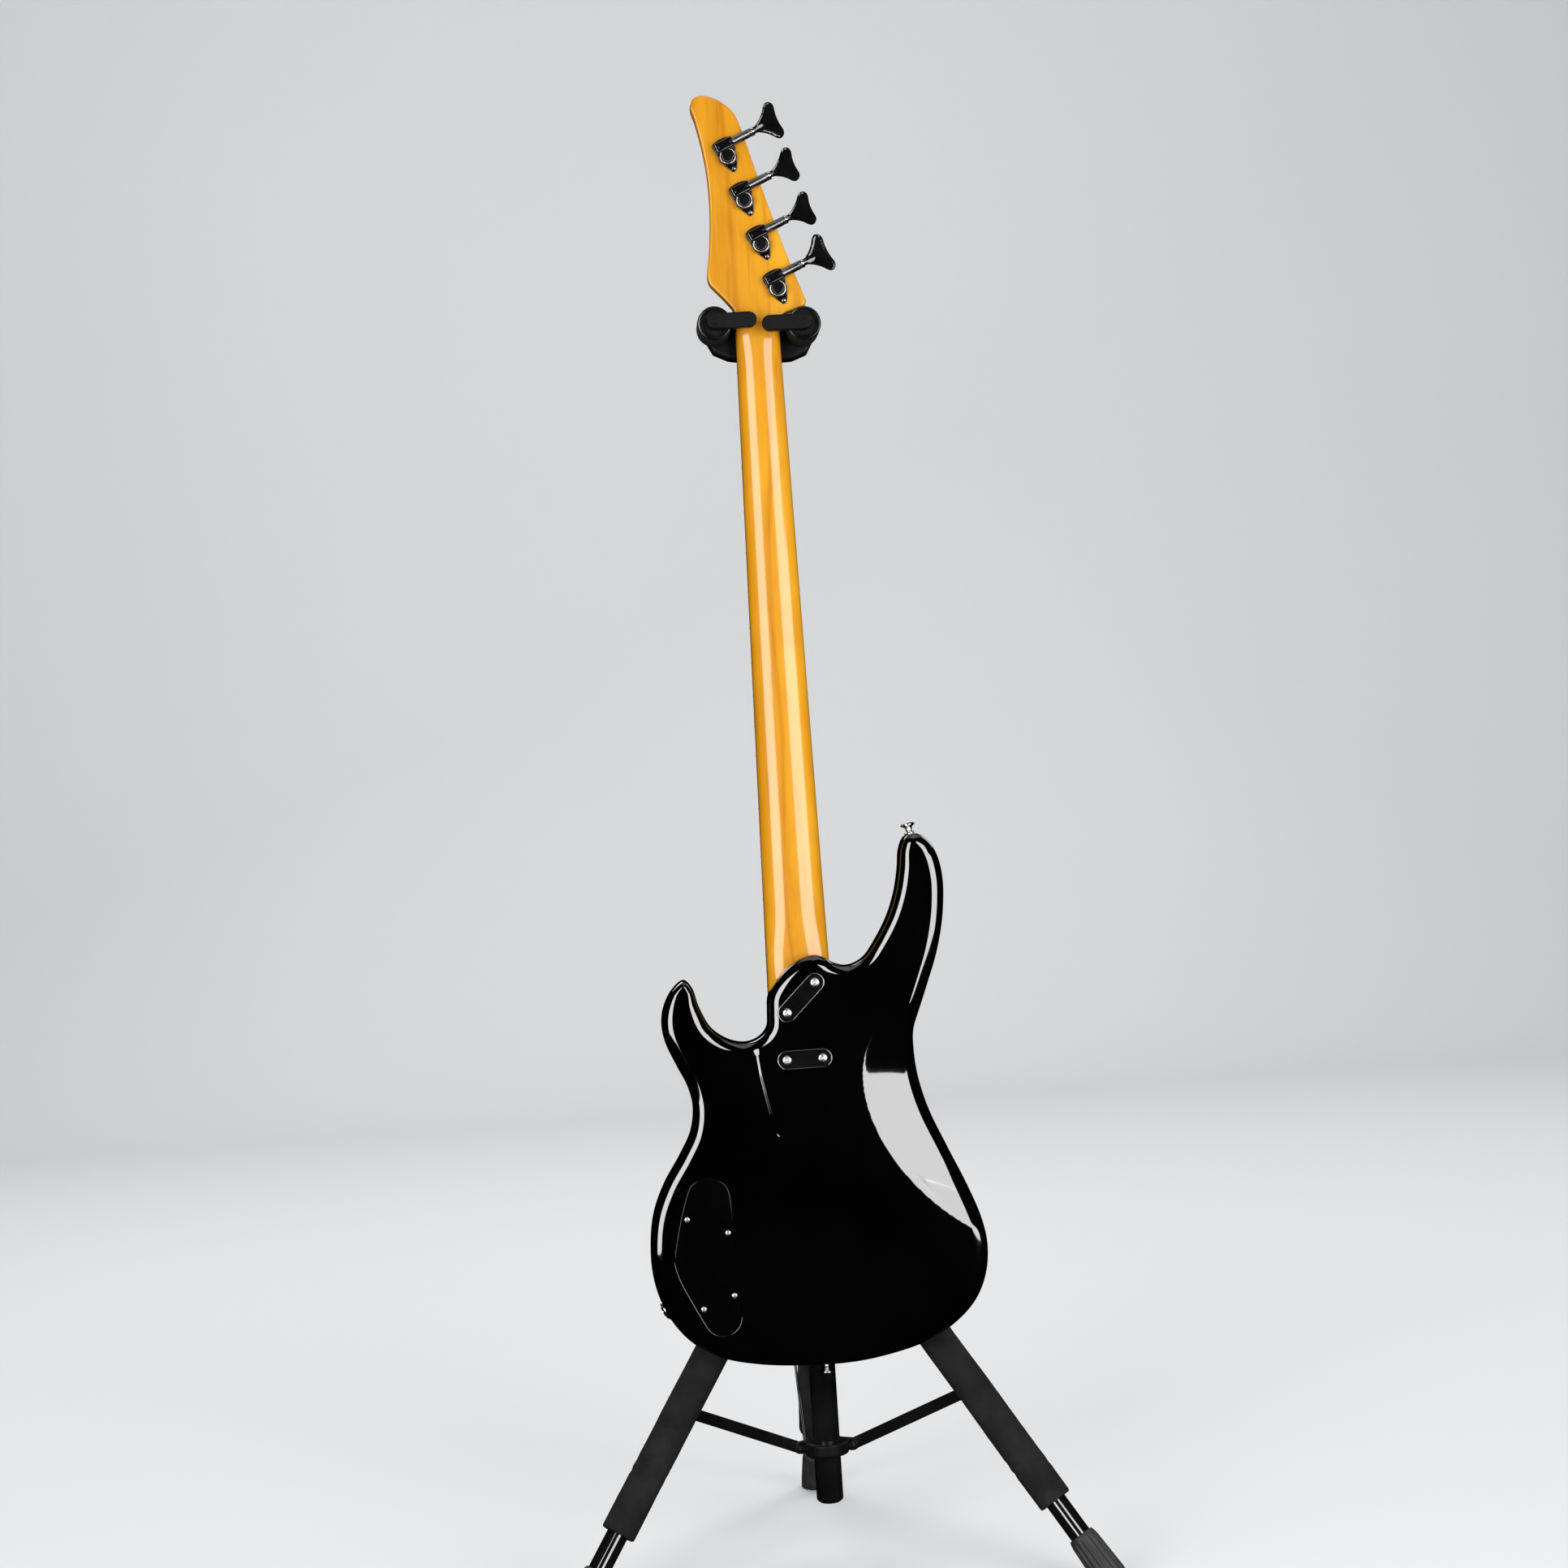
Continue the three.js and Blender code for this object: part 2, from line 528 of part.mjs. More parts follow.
function makeNeck(guitar) {
  const halfEnd = neckHalfWidth(-640);
  const heel = box(-halfEnd, halfEnd, HEEL_BACK, NECK_TOP, HEEL_END, -640);
  const head = plate(polygon(HEAD_OUTLINE), HEAD_BACK, HEAD_FRONT, 1.4, 1);
  const posts = TUNERS.map(([x, z]) => rodY(6.2, -20, 6, x, z, 16));
  const rodSlot = box(-3.4, 3.4, -5.4, 9, -598, -8);
  addMesh(guitar, 'neck', cut(join(neckShaft(), heel, head), ...posts, rodSlot), MAPLE());
  addMesh(guitar, 'truss_rod', box(-3, 3, -5, 2.8, -596, -11), BLACK_STEEL());
}

function makeFingerboard(guitar) {
  const end = -BOARD_LENGTH;
  const outline = polygon([[-neckHalfWidth(0), 0], [-neckHalfWidth(end), end],
    [-14, end - 4], [14, end - 4], [neckHalfWidth(end), end], [neckHalfWidth(0), 0]]);
  addMesh(guitar, 'fingerboard', plate(outline, NECK_TOP + GAP, BOARD_TOP, 0.6, 1), ROSEWOOD());
  const nut = box(-NUT_WIDTH / 2, NUT_WIDTH / 2, NECK_TOP + GAP, 12, GAP, 4.6);
  addMesh(guitar, 'nut', nut, mat(0xe6dfcb, 0.4));
}

const STRING_X = [-1, -1 / 3, 1 / 3, 1];

// Strings run from the bridge over a saddle and the nut, then wind down their posts.
function makeStrings(guitar) {
  TUNERS.forEach(([px, pz], i) => {
    const string = 3 - i;
    const r = STRING_R[i];
    const nutX = STRING_X[i] * 15;
    const bridgeX = STRING_X[i] * 28.5;
    const v = (x, y, z) => new THREE.Vector3(x, y, z);
    const points = [v(bridgeX, 9, -903), v(bridgeX, 9.4, -893), v(bridgeX, 13.6 + r, SADDLE_Z - 4),
      v(bridgeX, 14.9 + r, SADDLE_Z), v(nutX, 12.3 + r, 2.4)];
    const radius = 5.2 + GAP + r;
    const turns = 2.25;
    const steps = 26;
    const start = Math.atan2(2.4 - pz, nutX - px) - Math.acos(radius / Math.hypot(nutX - px, pz));
    for (let k = 0; k <= steps; k += 1) {
      const a = start + Math.PI * 2 * turns * (k / steps);
      const drop = (2 * r + 0.35) * turns * (k / steps);
      points.push(v(px + radius * Math.cos(a), 10.6 - drop, pz + radius * Math.sin(a)));
    }
    addMesh(guitar, `string_${4 - string}`, wire(points, r), mat(0xb9bcc0, 0.3, 1));
  });
}

const PADDLE = [[0, -3], [2.5, -3.2], [6, -5], [10, -8], [14, -12], [17, -16], [20, -18.3],
  [23, -18], [25.5, -15.5], [26.2, -12], [25.2, -6], [24.8, 0], [25.2, 6], [26.2, 12],
  [25.5, 15.5], [23, 18], [20, 18.3], [17, 16], [14, 12], [10, 8], [6, 5], [2.5, 3.2], [0, 3]];

// A tuner: housing and cover behind the headstock, clover key at the side, post in front.
function makeTuner(guitar, i) {
  const [px, pz] = TUNERS[i];
  const place = (g) => g.rotateY(-TUNER_ANGLE).translate(px, 0, pz);
  const back = HEAD_BACK - GAP;
  const shaftY = -19.4;
  const shaftV = 10.1;
  const base = polygon([[-7.7, 16.1], [-7.7, 1], [-7.4, -3], [-3.6, -11], [-1.4, -14.6],
    [1, -14.6], [3.4, -12.6], [6.4, -6.6], [8.6, -2.4], [9, 1.4], [11, 5.3], [11, 16.1]]);
  const housing = plate(polygon([[-7.7, 5.2], [11, 5.2], [11, 15.4], [-7.7, 15.4]]),
    -23.6, back - 1, 1.8, 2);
  const cover = rodY(8.4, -21.4, back - 1, 0, 0, 28);
  const sleeve = rodX(3.7, 9, 30, shaftY, shaftV, 20);
  const whole = join(plate(base, back - 1.5, back), housing, cover, sleeve);
  addMesh(guitar, `tuner_base_${i + 1}`, place(whole), BLACK_METAL());

  const key = plate(polygon(PADDLE.map(([u, w]) => [u + 32, w + shaftV])),
    shaftY - 3, shaftY + 3, 1.2, 2);
  const stem = rodX(3, 30.4, 34, shaftY, shaftV, 16);
  const button = join(key, stem).translate(0, -shaftY, -shaftV)
    .rotateX(THREE.MathUtils.degToRad(KEY_TURNS[i])).translate(0, shaftY, shaftV);
  addMesh(guitar, `tuner_button_${i + 1}`, place(button), BLACK_METAL());

  const post = new THREE.LatheGeometry([[0, -13.6], [5.9, -13.6], [5.9, 1.6], [5.2, 2.4],
    [5.2, 18], [4.4, 19], [0, 19]].map(([r, y]) => new THREE.Vector2(r, y)), 20);
  addMesh(guitar, `tuner_post_${i + 1}`, post.translate(px, 0, pz), CHROME());
}

function makeBridge(guitar) {
  const base = box(-39, 39, GAP, 2.8, -906, -846);
  const wall = box(-39, 39, 2, 15, -906, -903.4);
  const saddles = STRING_X.map((k) => join(
    rodX(5.6, k * 28.5 - 7, k * 28.5 + 7, 9.0, SADDLE_Z, 16),
    box(k * 28.5 - 7, k * 28.5 + 7, 2.5, 9, SADDLE_Z - 4, SADDLE_Z + 4)));
  const holes = STRING_X.map((k) => new THREE.CylinderGeometry(2, 2, 8, 12)
    .rotateX(Math.PI / 2).translate(k * 28.5, 9, -904));
  addMesh(guitar, 'bridge', cut(join(base, wall, ...saddles), ...holes), BLACK_METAL());
}

function makePickup(guitar, name, z) {
  const shape = pill([-37, z], [37, z], 9.2);
  addMesh(guitar, name, plate(shape, -20, 7, 1, 1, 8), mat(0x0b0b0c, 0.4));
}

function makeControls(guitar) {
  KNOBS.forEach(([x, z], i) => {
    const skirt = new THREE.LatheGeometry([[0, -8.6], [3.2, -8.6], [3.2, 1], [9.5, 1], [9.5, 3],
      [8.6, 5], [8, 14], [7.2, 15], [0, 15]].map(([r, y]) => new THREE.Vector2(r, y)), 24);
    addMesh(guitar, `knob_${i + 1}`, skirt.translate(x, 0, z), mat(0x0f0f10, 0.5));
    const pot = join(rodY(8.5, -19, -10, x, z, 24), rodY(4.6, -10.5, -9, x, z, 16));
    addMesh(guitar, `pot_${i + 1}`, pot, ZINC());
  });
  addMesh(guitar, 'control_cover', plate(polygon(COVER_OUTLINE), -39.8, -37.1), mat(0x0a0a0a, 0.15));
  const barrel = join(rod(7.4, -26, 1, 20), rod(7.9, -1.5, 3, 6));
  addMesh(guitar, 'output_jack', alongJack(barrel), CHROME());
}

function makeNeckPlates(guitar) {
  const plates = { neck_plate_upper: [[-14.6, -644], [12.4, -617.7]],
    neck_plate_lower: [[-17.5, -687], [15.3, -687]] };
  for (const [name, [a, b]] of Object.entries(plates)) {
    const rim = plate(pill(a, b, 8.9), -BODY_THICK - 3.1, -BODY_THICK - GAP, 0.6, 1, 12);
    addMesh(guitar, name, rim, BLACK_METAL());
  }
}

// Strap button standing along +Z from z = 0.
function strapButton() {
  return turned([[0, -12], [2, -12], [2, GAP], [5.4, GAP], [5, 1.4], [3.2, 3.2], [3.2, 6],
    [5.8, 7.4], [7, 8.4], [6.6, 9.6], [2.5, 10.2], [0, 10.2]], 20);
}

function makeStrapButtons(guitar) {
  addMesh(guitar, 'horn_strap_button', atHorn(strapButton()), CHROME());
  addMesh(guitar, 'tail_strap_button', atTail(strapButton()), CHROME());
}

// ---------- assembly ----------
const root = new THREE.Group();
root.name = 'bass_guitar_on_stand';

const stand = new THREE.Group();
stand.name = 'stand';
stand.position.set(0, SHAFT_Y, 0);
makeLowerTube(stand);
makeUpperTube(stand);
makeHub(stand);
makeCollar(stand);
for (const side of Object.keys(LEG_AZIMUTHS)) {
  makeLeg(stand, side);
  makeBrace(stand, side);
}
makeClutch(stand);
makeYokeBase(stand);
makeYokeCarriage(stand);
makeArmPad(stand, 'left_arm_pad', LEFT_ARM);
makeArmPad(stand, 'right_arm_pad', RIGHT_ARM);
makeGate(stand, 'left_gate', LEFT_ARM, 1);
makeGate(stand, 'right_gate', RIGHT_ARM, -1);
root.add(stand);

const guitar = new THREE.Group();
guitar.name = 'guitar';
guitar.position.set(GUITAR_AT[0], GUITAR_AT[1] + SHAFT_Y, GUITAR_AT[2]);
guitar.rotation.x = -GUITAR_LEAN;
makeBody(guitar);
makeNeck(guitar);
makeFingerboard(guitar);
makeStrings(guitar);
for (let i = 0; i < TUNERS.length; i += 1) makeTuner(guitar, i);
makeBridge(guitar);
makePickup(guitar, 'neck_pickup', -730);
makePickup(guitar, 'bridge_pickup', -800);
makeControls(guitar);
makeNeckPlates(guitar);
makeStrapButtons(guitar);
root.add(guitar);

export default root;
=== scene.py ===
# Visual model of a bass guitar that hangs by its headstock in a folding tripod stand.
import math
import bpy
import bmesh
import numpy as np
from mathutils import Matrix, Vector, noise
from mathutils.geometry import delaunay_2d_cdt


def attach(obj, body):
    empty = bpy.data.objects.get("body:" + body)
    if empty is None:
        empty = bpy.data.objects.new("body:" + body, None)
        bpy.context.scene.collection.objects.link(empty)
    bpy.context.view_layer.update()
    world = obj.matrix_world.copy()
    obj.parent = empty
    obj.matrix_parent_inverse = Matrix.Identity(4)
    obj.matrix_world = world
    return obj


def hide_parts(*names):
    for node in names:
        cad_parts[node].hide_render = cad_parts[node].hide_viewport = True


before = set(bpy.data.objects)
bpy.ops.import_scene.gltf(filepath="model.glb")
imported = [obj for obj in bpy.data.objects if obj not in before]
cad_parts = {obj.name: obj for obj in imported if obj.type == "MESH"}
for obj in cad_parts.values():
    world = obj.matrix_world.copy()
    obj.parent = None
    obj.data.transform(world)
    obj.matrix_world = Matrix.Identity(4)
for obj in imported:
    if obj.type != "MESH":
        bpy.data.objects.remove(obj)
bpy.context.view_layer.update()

MM = 0.001
SHAFT_Y = -73.45  # y of the stand's shaft, in mm
LEAN = math.radians(1.2)
STAND = Matrix.Translation((0, SHAFT_Y * MM, 0)) @ Matrix.Scale(MM, 4)
GUITAR = (Matrix.Translation(Vector((-2.2, -54.1 + SHAFT_Y, 1179.8)) * MM)
          @ Matrix.Rotation(-LEAN, 4, "X") @ Matrix.Scale(MM, 4))

# ---------------------------------------------------------------- camera, light, floor
CAMERA_AT = Vector((-0.131, -2.77345, 0.775))
YAW, PITCH, ROLL = math.radians(2.75), math.radians(-0.64), math.radians(-3.59)
SENSOR, LENS = 36, 65.21739130434783
BOX_DISTANCE = 3.2  # of the front softboxes from the guitar


def make_camera():
    level = math.cos(PITCH)
    ahead = Vector((math.sin(YAW) * level, math.cos(YAW) * level, math.sin(PITCH)))
    right = Vector((math.cos(YAW), -math.sin(YAW), 0))
    up = right.cross(ahead)
    turned_right = math.cos(ROLL) * right + math.sin(ROLL) * up
    turned_up = -math.sin(ROLL) * right + math.cos(ROLL) * up
    data = bpy.data.cameras.new("camera")
    data.sensor_width, data.lens = SENSOR, LENS
    data.clip_start, data.clip_end = 0.05, 100
    cam = bpy.data.objects.new("camera", data)
    axes = Matrix((turned_right, turned_up, -ahead)).transposed()
    cam.matrix_world = Matrix.Translation(CAMERA_AT) @ axes.to_4x4()
    bpy.context.scene.collection.objects.link(cam)
    bpy.context.scene.camera = cam


def softbox(name, at, aim, size, radiance):
    data = bpy.data.lights.new(name, "AREA")
    data.shape = "RECTANGLE"
    data.size, data.size_y = size
    data.energy = radiance * math.pi * size[0] * size[1]
    light = bpy.data.objects.new(name, data)
    light.location = at
    light.rotation_euler = (Vector(aim) - Vector(at)).to_track_quat("-Z", "Y").to_euler()
    light.visible_camera = False
    bpy.context.scene.collection.objects.link(light)


def make_light():
    world = bpy.data.worlds.new("studio")
    bpy.context.scene.world = world
    world.use_nodes = True
    sky = world.node_tree.nodes["Background"]
    sky.inputs["Color"].default_value = (0.9, 0.93, 1, 1)
    sky.inputs["Strength"].default_value = 0.58
    world.cycles_visibility.glossy = False
    centre_y = SHAFT_Y * MM - 0.08
    for name, azimuth, width, low, high, radiance in (
            ("left_box", -29.5, 1.5, -0.05, 2.1, 8.5), ("right_low_box", 30.5, 1.85, 0.06, 1.4, 8.2),
            ("right_high_box", 26, 1.35, 1.4, 2.1, 8)):
        a = math.radians(azimuth)
        z = (low + high) / 2
        at = (BOX_DISTANCE * math.sin(a), centre_y - BOX_DISTANCE * math.cos(a), z)
        softbox(name, at, (0, centre_y, z), (width, high - low), radiance)
    softbox("top_box", (0.2, -0.2, 3.3), (0, 0, 0), (2.6, 2.6), 0.9)
    softbox("rear_box", (-1.5, 2.5, 3.0), (0, -0.1, 0.75), (2.4, 1.4), 4)
    softbox("rear_side_box", (2.5, 1.9, 2.6), (0, -0.1, 0.75), (1.2, 1.6), 4)
    softbox("back_box", (0, 2.2, 3.4), (0, 4.6, 0.9), (4, 1.2), 1.6)
    bpy.context.scene.view_settings.view_transform = "Standard"
    bpy.context.scene.view_settings.look = "None"


def make_floor():
    section = [(-9, 0)]
    section += [(3.4 + 1.6 * math.sin(a), 1.6 - 1.6 * math.cos(a))
                for a in np.linspace(0, math.pi / 2, 24)]
    section.append((5, 7))
    verts = [(x, y, z) for x in (-11, 11) for y, z in section]
    n = len(section)
    faces = [(i, i + 1, n + i + 1, n + i) for i in range(n - 1)]
    mesh = bpy.data.meshes.new("floor")
    mesh.from_pydata(verts, [], faces)
    mesh.polygons.foreach_set("use_smooth", [True] * len(mesh.polygons))
    mesh.materials.append(MAT["paper"])
    obj = bpy.data.objects.new("floor", mesh)
    obj.visible_glossy = False
    bpy.context.scene.collection.objects.link(obj)


# ---------------------------------------------------------------- materials
MAT = {}


class Look:
    """A Principled material whose colour, roughness and bump come from noise nodes."""

    def __init__(self, name, colour, roughness, metallic=0.0, **sockets):
        self.mat = bpy.data.materials.new(name)
        self.mat.use_nodes = True
        self.tree = self.mat.node_tree
        self.bsdf = self.tree.nodes["Principled BSDF"]
        self.set(self.bsdf, "Base Color", (*colour, 1))
        self.set(self.bsdf, "Roughness", roughness)
        self.set(self.bsdf, "Metallic", metallic)
        for key, value in sockets.items():
            self.set(self.bsdf, key.replace("_", " "), value)
        self.coord = self.tree.nodes.new("ShaderNodeTexCoord")
        self.height = None
        MAT[name] = self.mat

    def set(self, node, socket, value):
        node.inputs[socket].default_value = value

    def link(self, a, b):
        self.tree.links.new(a, b)

    def node(self, kind, **values):
        node = self.tree.nodes.new("ShaderNode" + kind)
        for key, value in values.items():
            self.set(node, key.replace("_", " "), value)
        return node

    def texture(self, kind, stretch, **values):
        """A texture that reads the object's own coordinates, stretched along its axes."""
        place = self.node("Mapping", Scale=stretch)
        self.link(self.coord.outputs["Object"], place.inputs["Vector"])
        node = self.node(kind, **values)
        self.link(place.outputs["Vector"], node.inputs["Vector"])
        return node

    def noise(self, scale, stretch=(1, 1, 1), detail=3, rough=0.55, distort=0.0):
        return self.texture("TexNoise", stretch, Scale=scale, Detail=detail, Roughness=rough,
                            Distortion=distort).outputs["Fac"]

    def wave(self, scale, direction, stretch=(1, 1, 1), distort=2.0, detail_scale=1.0):
        node = self.texture("TexWave", stretch, Scale=scale, Distortion=distort,
                            Detail_Scale=detail_scale)
        node.bands_direction = direction
        return node.outputs["Fac"]

    def cracks(self, scale, stretch):
        node = self.texture("TexVoronoi", stretch, Scale=scale)
        node.feature = "DISTANCE_TO_EDGE"
        return node.outputs["Distance"]

    def ramp(self, fac, stops):
        node = self.node("ValToRGB")
        while len(node.color_ramp.elements) < len(stops):
            node.color_ramp.elements.new(0.5)
        for element, (at, colour) in zip(node.color_ramp.elements, stops):
            element.position = at
            element.color = (*colour, 1)
        self.link(fac, node.inputs["Fac"])
        return node.outputs["Color"]

    def mix(self, mode, fac, a, b):
        node = self.node("Mix")
        node.data_type = "RGBA"
        node.blend_type = mode
        sockets = [s for s in node.inputs if s.type == "RGBA"]
        factor = [s for s in node.inputs if s.name == "Factor" and s.type == "VALUE"][0]
        for socket, value in ((factor, fac), (sockets[0], a), (sockets[1], b)):
            if isinstance(value, bpy.types.NodeSocket):
                self.link(value, socket)
            else:
                socket.default_value = (*value, 1) if isinstance(value, tuple) else value
        return [s for s in node.outputs if s.type == "RGBA"][0]

    def span(self, fac, low, high, start=0.3, stop=0.7):
        node = self.node("MapRange", From_Min=start, From_Max=stop, To_Min=low, To_Max=high)
        self.link(fac, node.inputs["Value"])
        return node.outputs["Result"]

    def colour(self, socket):
        self.link(socket, self.bsdf.inputs["Base Color"])

    def rough(self, fac, low, high, start=0.3, stop=0.7):
        self.link(self.span(fac, low, high, start, stop), self.bsdf.inputs["Roughness"])

    def bump(self, fac, distance_mm, strength=1.0):
        node = self.node("Bump", Strength=strength, Distance=distance_mm * MM)
        self.link(fac, node.inputs["Height"])
        if self.height is not None:
            self.link(self.height, node.inputs["Normal"])
        self.height = node.outputs["Normal"]
        self.link(self.height, self.bsdf.inputs["Normal"])


def grey(tone):
    return tone if isinstance(tone, tuple) else (tone, tone, tone)


def tinted(look, scale, dark, light, detail=4):
    look.colour(look.ramp(look.noise(scale, detail=detail), [(0.3, grey(dark)), (0.7, grey(light))]))


def plain(name, base, roughness, tint, rough, bump=None, **sockets):
    """A look with a tint (scale, dark, light, detail), a roughness (scale, low, high, stretch)
    and perhaps a bump (scale, mm, strength, detail). The last of each may be left out."""
    look = Look(name, grey(base), roughness, **sockets)
    tinted(look, *tint)
    scale, low, high, *stretch = rough
    look.rough(look.noise(scale, *stretch), low, high)
    if bump:
        scale, distance, strength, *detail = bump
        look.bump(look.noise(scale, detail=detail[0] if detail else 3), distance, strength)


def make_materials():
    m = Look("paper", (0.78, 0.78, 0.77), 0.85)
    tinted(m, 0.7, (0.665, 0.665, 0.655), (0.675, 0.675, 0.665))
    m.bump(m.noise(900), 0.05, 0.1)

    m = Look("black_lacquer", (0.0004, 0.0004, 0.0005), 0.035, Specular_IOR_Level=0.8,
             Coat_Weight=0.4, Coat_Roughness=0.02)
    hairlines = m.cracks(9, (1, 0.2, 2.2))
    m.rough(m.noise(14), 0.03, 0.075)
    tinted(m, 7, (0.0002, 0.0002, 0.0003), (0.0007, 0.0007, 0.0008))
    m.bump(m.noise(5.5, detail=1), 0.35, 0.35)
    m.bump(m.span(hairlines, 0, 1, 0, 0.0012), 0.006, 0.5)

    m = Look("maple", (0.5, 0.22, 0.02), 0.34, Specular_IOR_Level=0.16, Coat_Weight=0.75,
             Coat_Roughness=0.08)
    grain = m.noise(26, (1, 1, 0.035), 6, 0.6, 0.3)
    figure = m.noise(11, (1.5, 1, 0.55), 4, 0.6, 0.8)
    flecks = m.noise(240, (1, 1, 0.06), 2)
    base = m.ramp(grain, [(0.32, (0.415, 0.168, 0.003)), (0.52, (0.495, 0.215, 0.005)),
                          (0.68, (0.555, 0.26, 0.01))])
    shade = m.ramp(figure, [(0.35, (0.82, 0.75, 0.55)), (0.62, (1, 1, 1))])
    toned = m.mix("MULTIPLY", 0.9, base, shade)
    rings = m.wave(7, "X", (1, 1, 0.12), 9.0, 2.2)
    toned = m.mix("MULTIPLY", 0.55, toned, m.ramp(rings, [(0.0, (0.74, 0.6, 0.36)), (0.12, (1, 1, 1))]))
    m.colour(m.mix("MULTIPLY", m.span(flecks, 0, 0.5, 0.62, 0.8), toned, (0.62, 0.45, 0.25)))
    m.rough(m.noise(40, (1, 1, 0.2)), 0.26, 0.36)
    m.bump(m.noise(7, (1, 1, 0.3), 1), 0.25, 0.3)

    m = Look("rosewood", (0.035, 0.016, 0.009), 0.45)
    streak = m.noise(60, (1, 1, 0.03), 6, 0.65, 0.5)
    m.colour(m.ramp(streak, [(0.3, (0.014, 0.006, 0.004)), (0.5, (0.045, 0.02, 0.011)),
                             (0.72, (0.085, 0.04, 0.02))]))
    m.rough(streak, 0.36, 0.55)
    m.bump(m.noise(400, (1, 1, 0.04), 2), 0.05, 0.6)

    for name, dark, light, low, high, scratch in (
            ("chrome", (0.72, 0.73, 0.74), (0.82, 0.83, 0.84), 0.08, 0.16, 0.004),
            ("smoky_chrome", (0.24, 0.24, 0.25), (0.36, 0.36, 0.37), 0.12, 0.2, 0.004),
            ("nickel", (0.52, 0.51, 0.49), (0.66, 0.65, 0.62), 0.22, 0.34, 0.004),
            ("dull_steel", 0.12, 0.3, 0.22, 0.36, 0.004),
            ("zinc", (0.42, 0.43, 0.44), (0.6, 0.61, 0.62), 0.3, 0.45, 0.01),
            ("fret_wire", (0.55, 0.55, 0.54), (0.68, 0.68, 0.66), 0.18, 0.3, 0.004)):
        plain(name, light, low, (60, dark, light), (180, low, high), (840, scratch, 0.4), metallic=1.0)

    m = Look("wound_steel", (0.5, 0.5, 0.52), 0.32, 1.0)
    winding = m.wave(620, "Z", distort=0.0)
    tinted(m, 200, (0.42, 0.42, 0.43), (0.6, 0.6, 0.61))
    m.rough(m.noise(300), 0.26, 0.4)
    m.bump(winding, 0.12, 0.8)

    m = Look("foam", (0.006, 0.006, 0.006), 0.92, Specular_IOR_Level=0.2)
    cells = m.noise(900, detail=3, rough=0.7)
    mottled = m.ramp(m.noise(38, detail=6),
                     [(0.3, (0.0042, 0.0042, 0.004)), (0.7, (0.0105, 0.0105, 0.01))])
    dust = m.span(m.noise(16, (1, 1, 0.6), 7, 0.62), 0, 0.5, 0.54, 0.74)
    m.colour(m.mix("MIX", dust, mottled, (0.026, 0.026, 0.025)))
    m.rough(m.noise(60), 0.85, 0.97)
    m.bump(m.noise(60, detail=5), 0.5, 0.5)
    m.bump(cells, 0.22, 0.7)

    plain("bone", (0.75, 0.69, 0.55), 0.35, (120, (0.68, 0.61, 0.46), (0.8, 0.75, 0.62)),
          (90, 0.3, 0.42), Subsurface_Weight=0.1, Subsurface_Radius=(0.002, 0.0015, 0.001))
    plain("pearl", (0.78, 0.76, 0.72), 0.28, (260, (0.62, 0.6, 0.56), (0.88, 0.87, 0.84), 5),
          (200, 0.22, 0.34))
    plain("black_chrome", 0.003, 0.08, (50, 0.002, 0.0045), (120, 0.04, 0.09), (700, 0.002, 0.3),
          Specular_IOR_Level=0.7)
    plain("black_hardware", 0.003, 0.14, (80, 0.002, 0.005), (160, 0.1, 0.2), (900, 0.01, 0.5))
    plain("tube_gloss", 0.003, 0.08, (30, 0.002, 0.005), (70, 0.06, 0.12, (1, 1, 0.2)),
          (1300, 0.006, 0.3, 1), Specular_IOR_Level=1.0)
    plain("black_plastic", 0.003, 0.4, (45, 0.002, 0.0045), (130, 0.34, 0.5), (1500, 0.02, 0.5, 2),
          Specular_IOR_Level=0.1)
    plain("foot_rubber", (0.03, 0.03, 0.029), 0.55,
          (60, (0.012, 0.012, 0.0117), (0.025, 0.025, 0.0244), 5), (90, 0.52, 0.72), (500, 0.06, 0.5),
          Specular_IOR_Level=0.4)
    plain("cover_plastic", 0.0006, 0.05, (30, 0.0004, 0.001), (45, 0.04, 0.075), (9, 0.03, 0.3, 1))
    plain("pickup_cover", 0.01, 0.36, (60, 0.007, 0.014), (110, 0.3, 0.42), (1300, 0.012, 0.4))


# ---------------------------------------------------------------- mesh helpers
# Every shape is a pair (points, faces) in millimetres of its own frame.
def ring_faces(n, a, b):
    return [(a + i, a + (i + 1) % n, b + (i + 1) % n, b + i) for i in range(n)]


def merge(*shapes):
    points, faces = [], []
    for p, f in shapes:
        k = len(points)
        points += [tuple(q) for q in p]
        faces += [tuple(k + i for i in face) for face in f]
    return points, faces


def moved(shape, matrix):
    return [tuple(matrix @ Vector(p)) for p in shape[0]], shape[1]


def shift(x, y, z):
    return Matrix.Translation((x, y, z))


ALONG_Y = Matrix.Rotation(math.radians(-90), 4, "X")  # turns +Z into +Y
ALONG_X = Matrix.Rotation(math.radians(90), 4, "Y")  # turns +Z into +X
BACKWARD = ALONG_Y @ Matrix.Rotation(math.pi, 4, "X")  # turns +Z into -Y


def around(n):
    return [2 * math.pi * i / n for i in range(n)]


def supported(profile, near=0.12, long=1.0):
    """Adds points close to both ends of long straight runs, so that flats shade flat."""
    out = [profile[0]]
    for (r0, z0), (r1, z1) in zip(profile, profile[1:]):
        length = math.hypot(r1 - r0, z1 - z0)
        if length > long:
            for t in (near / length, 1 - near / length):
                out.append((r0 + (r1 - r0) * t, z0 + (z1 - z0) * t))
        out.append((r1, z1))
    return out


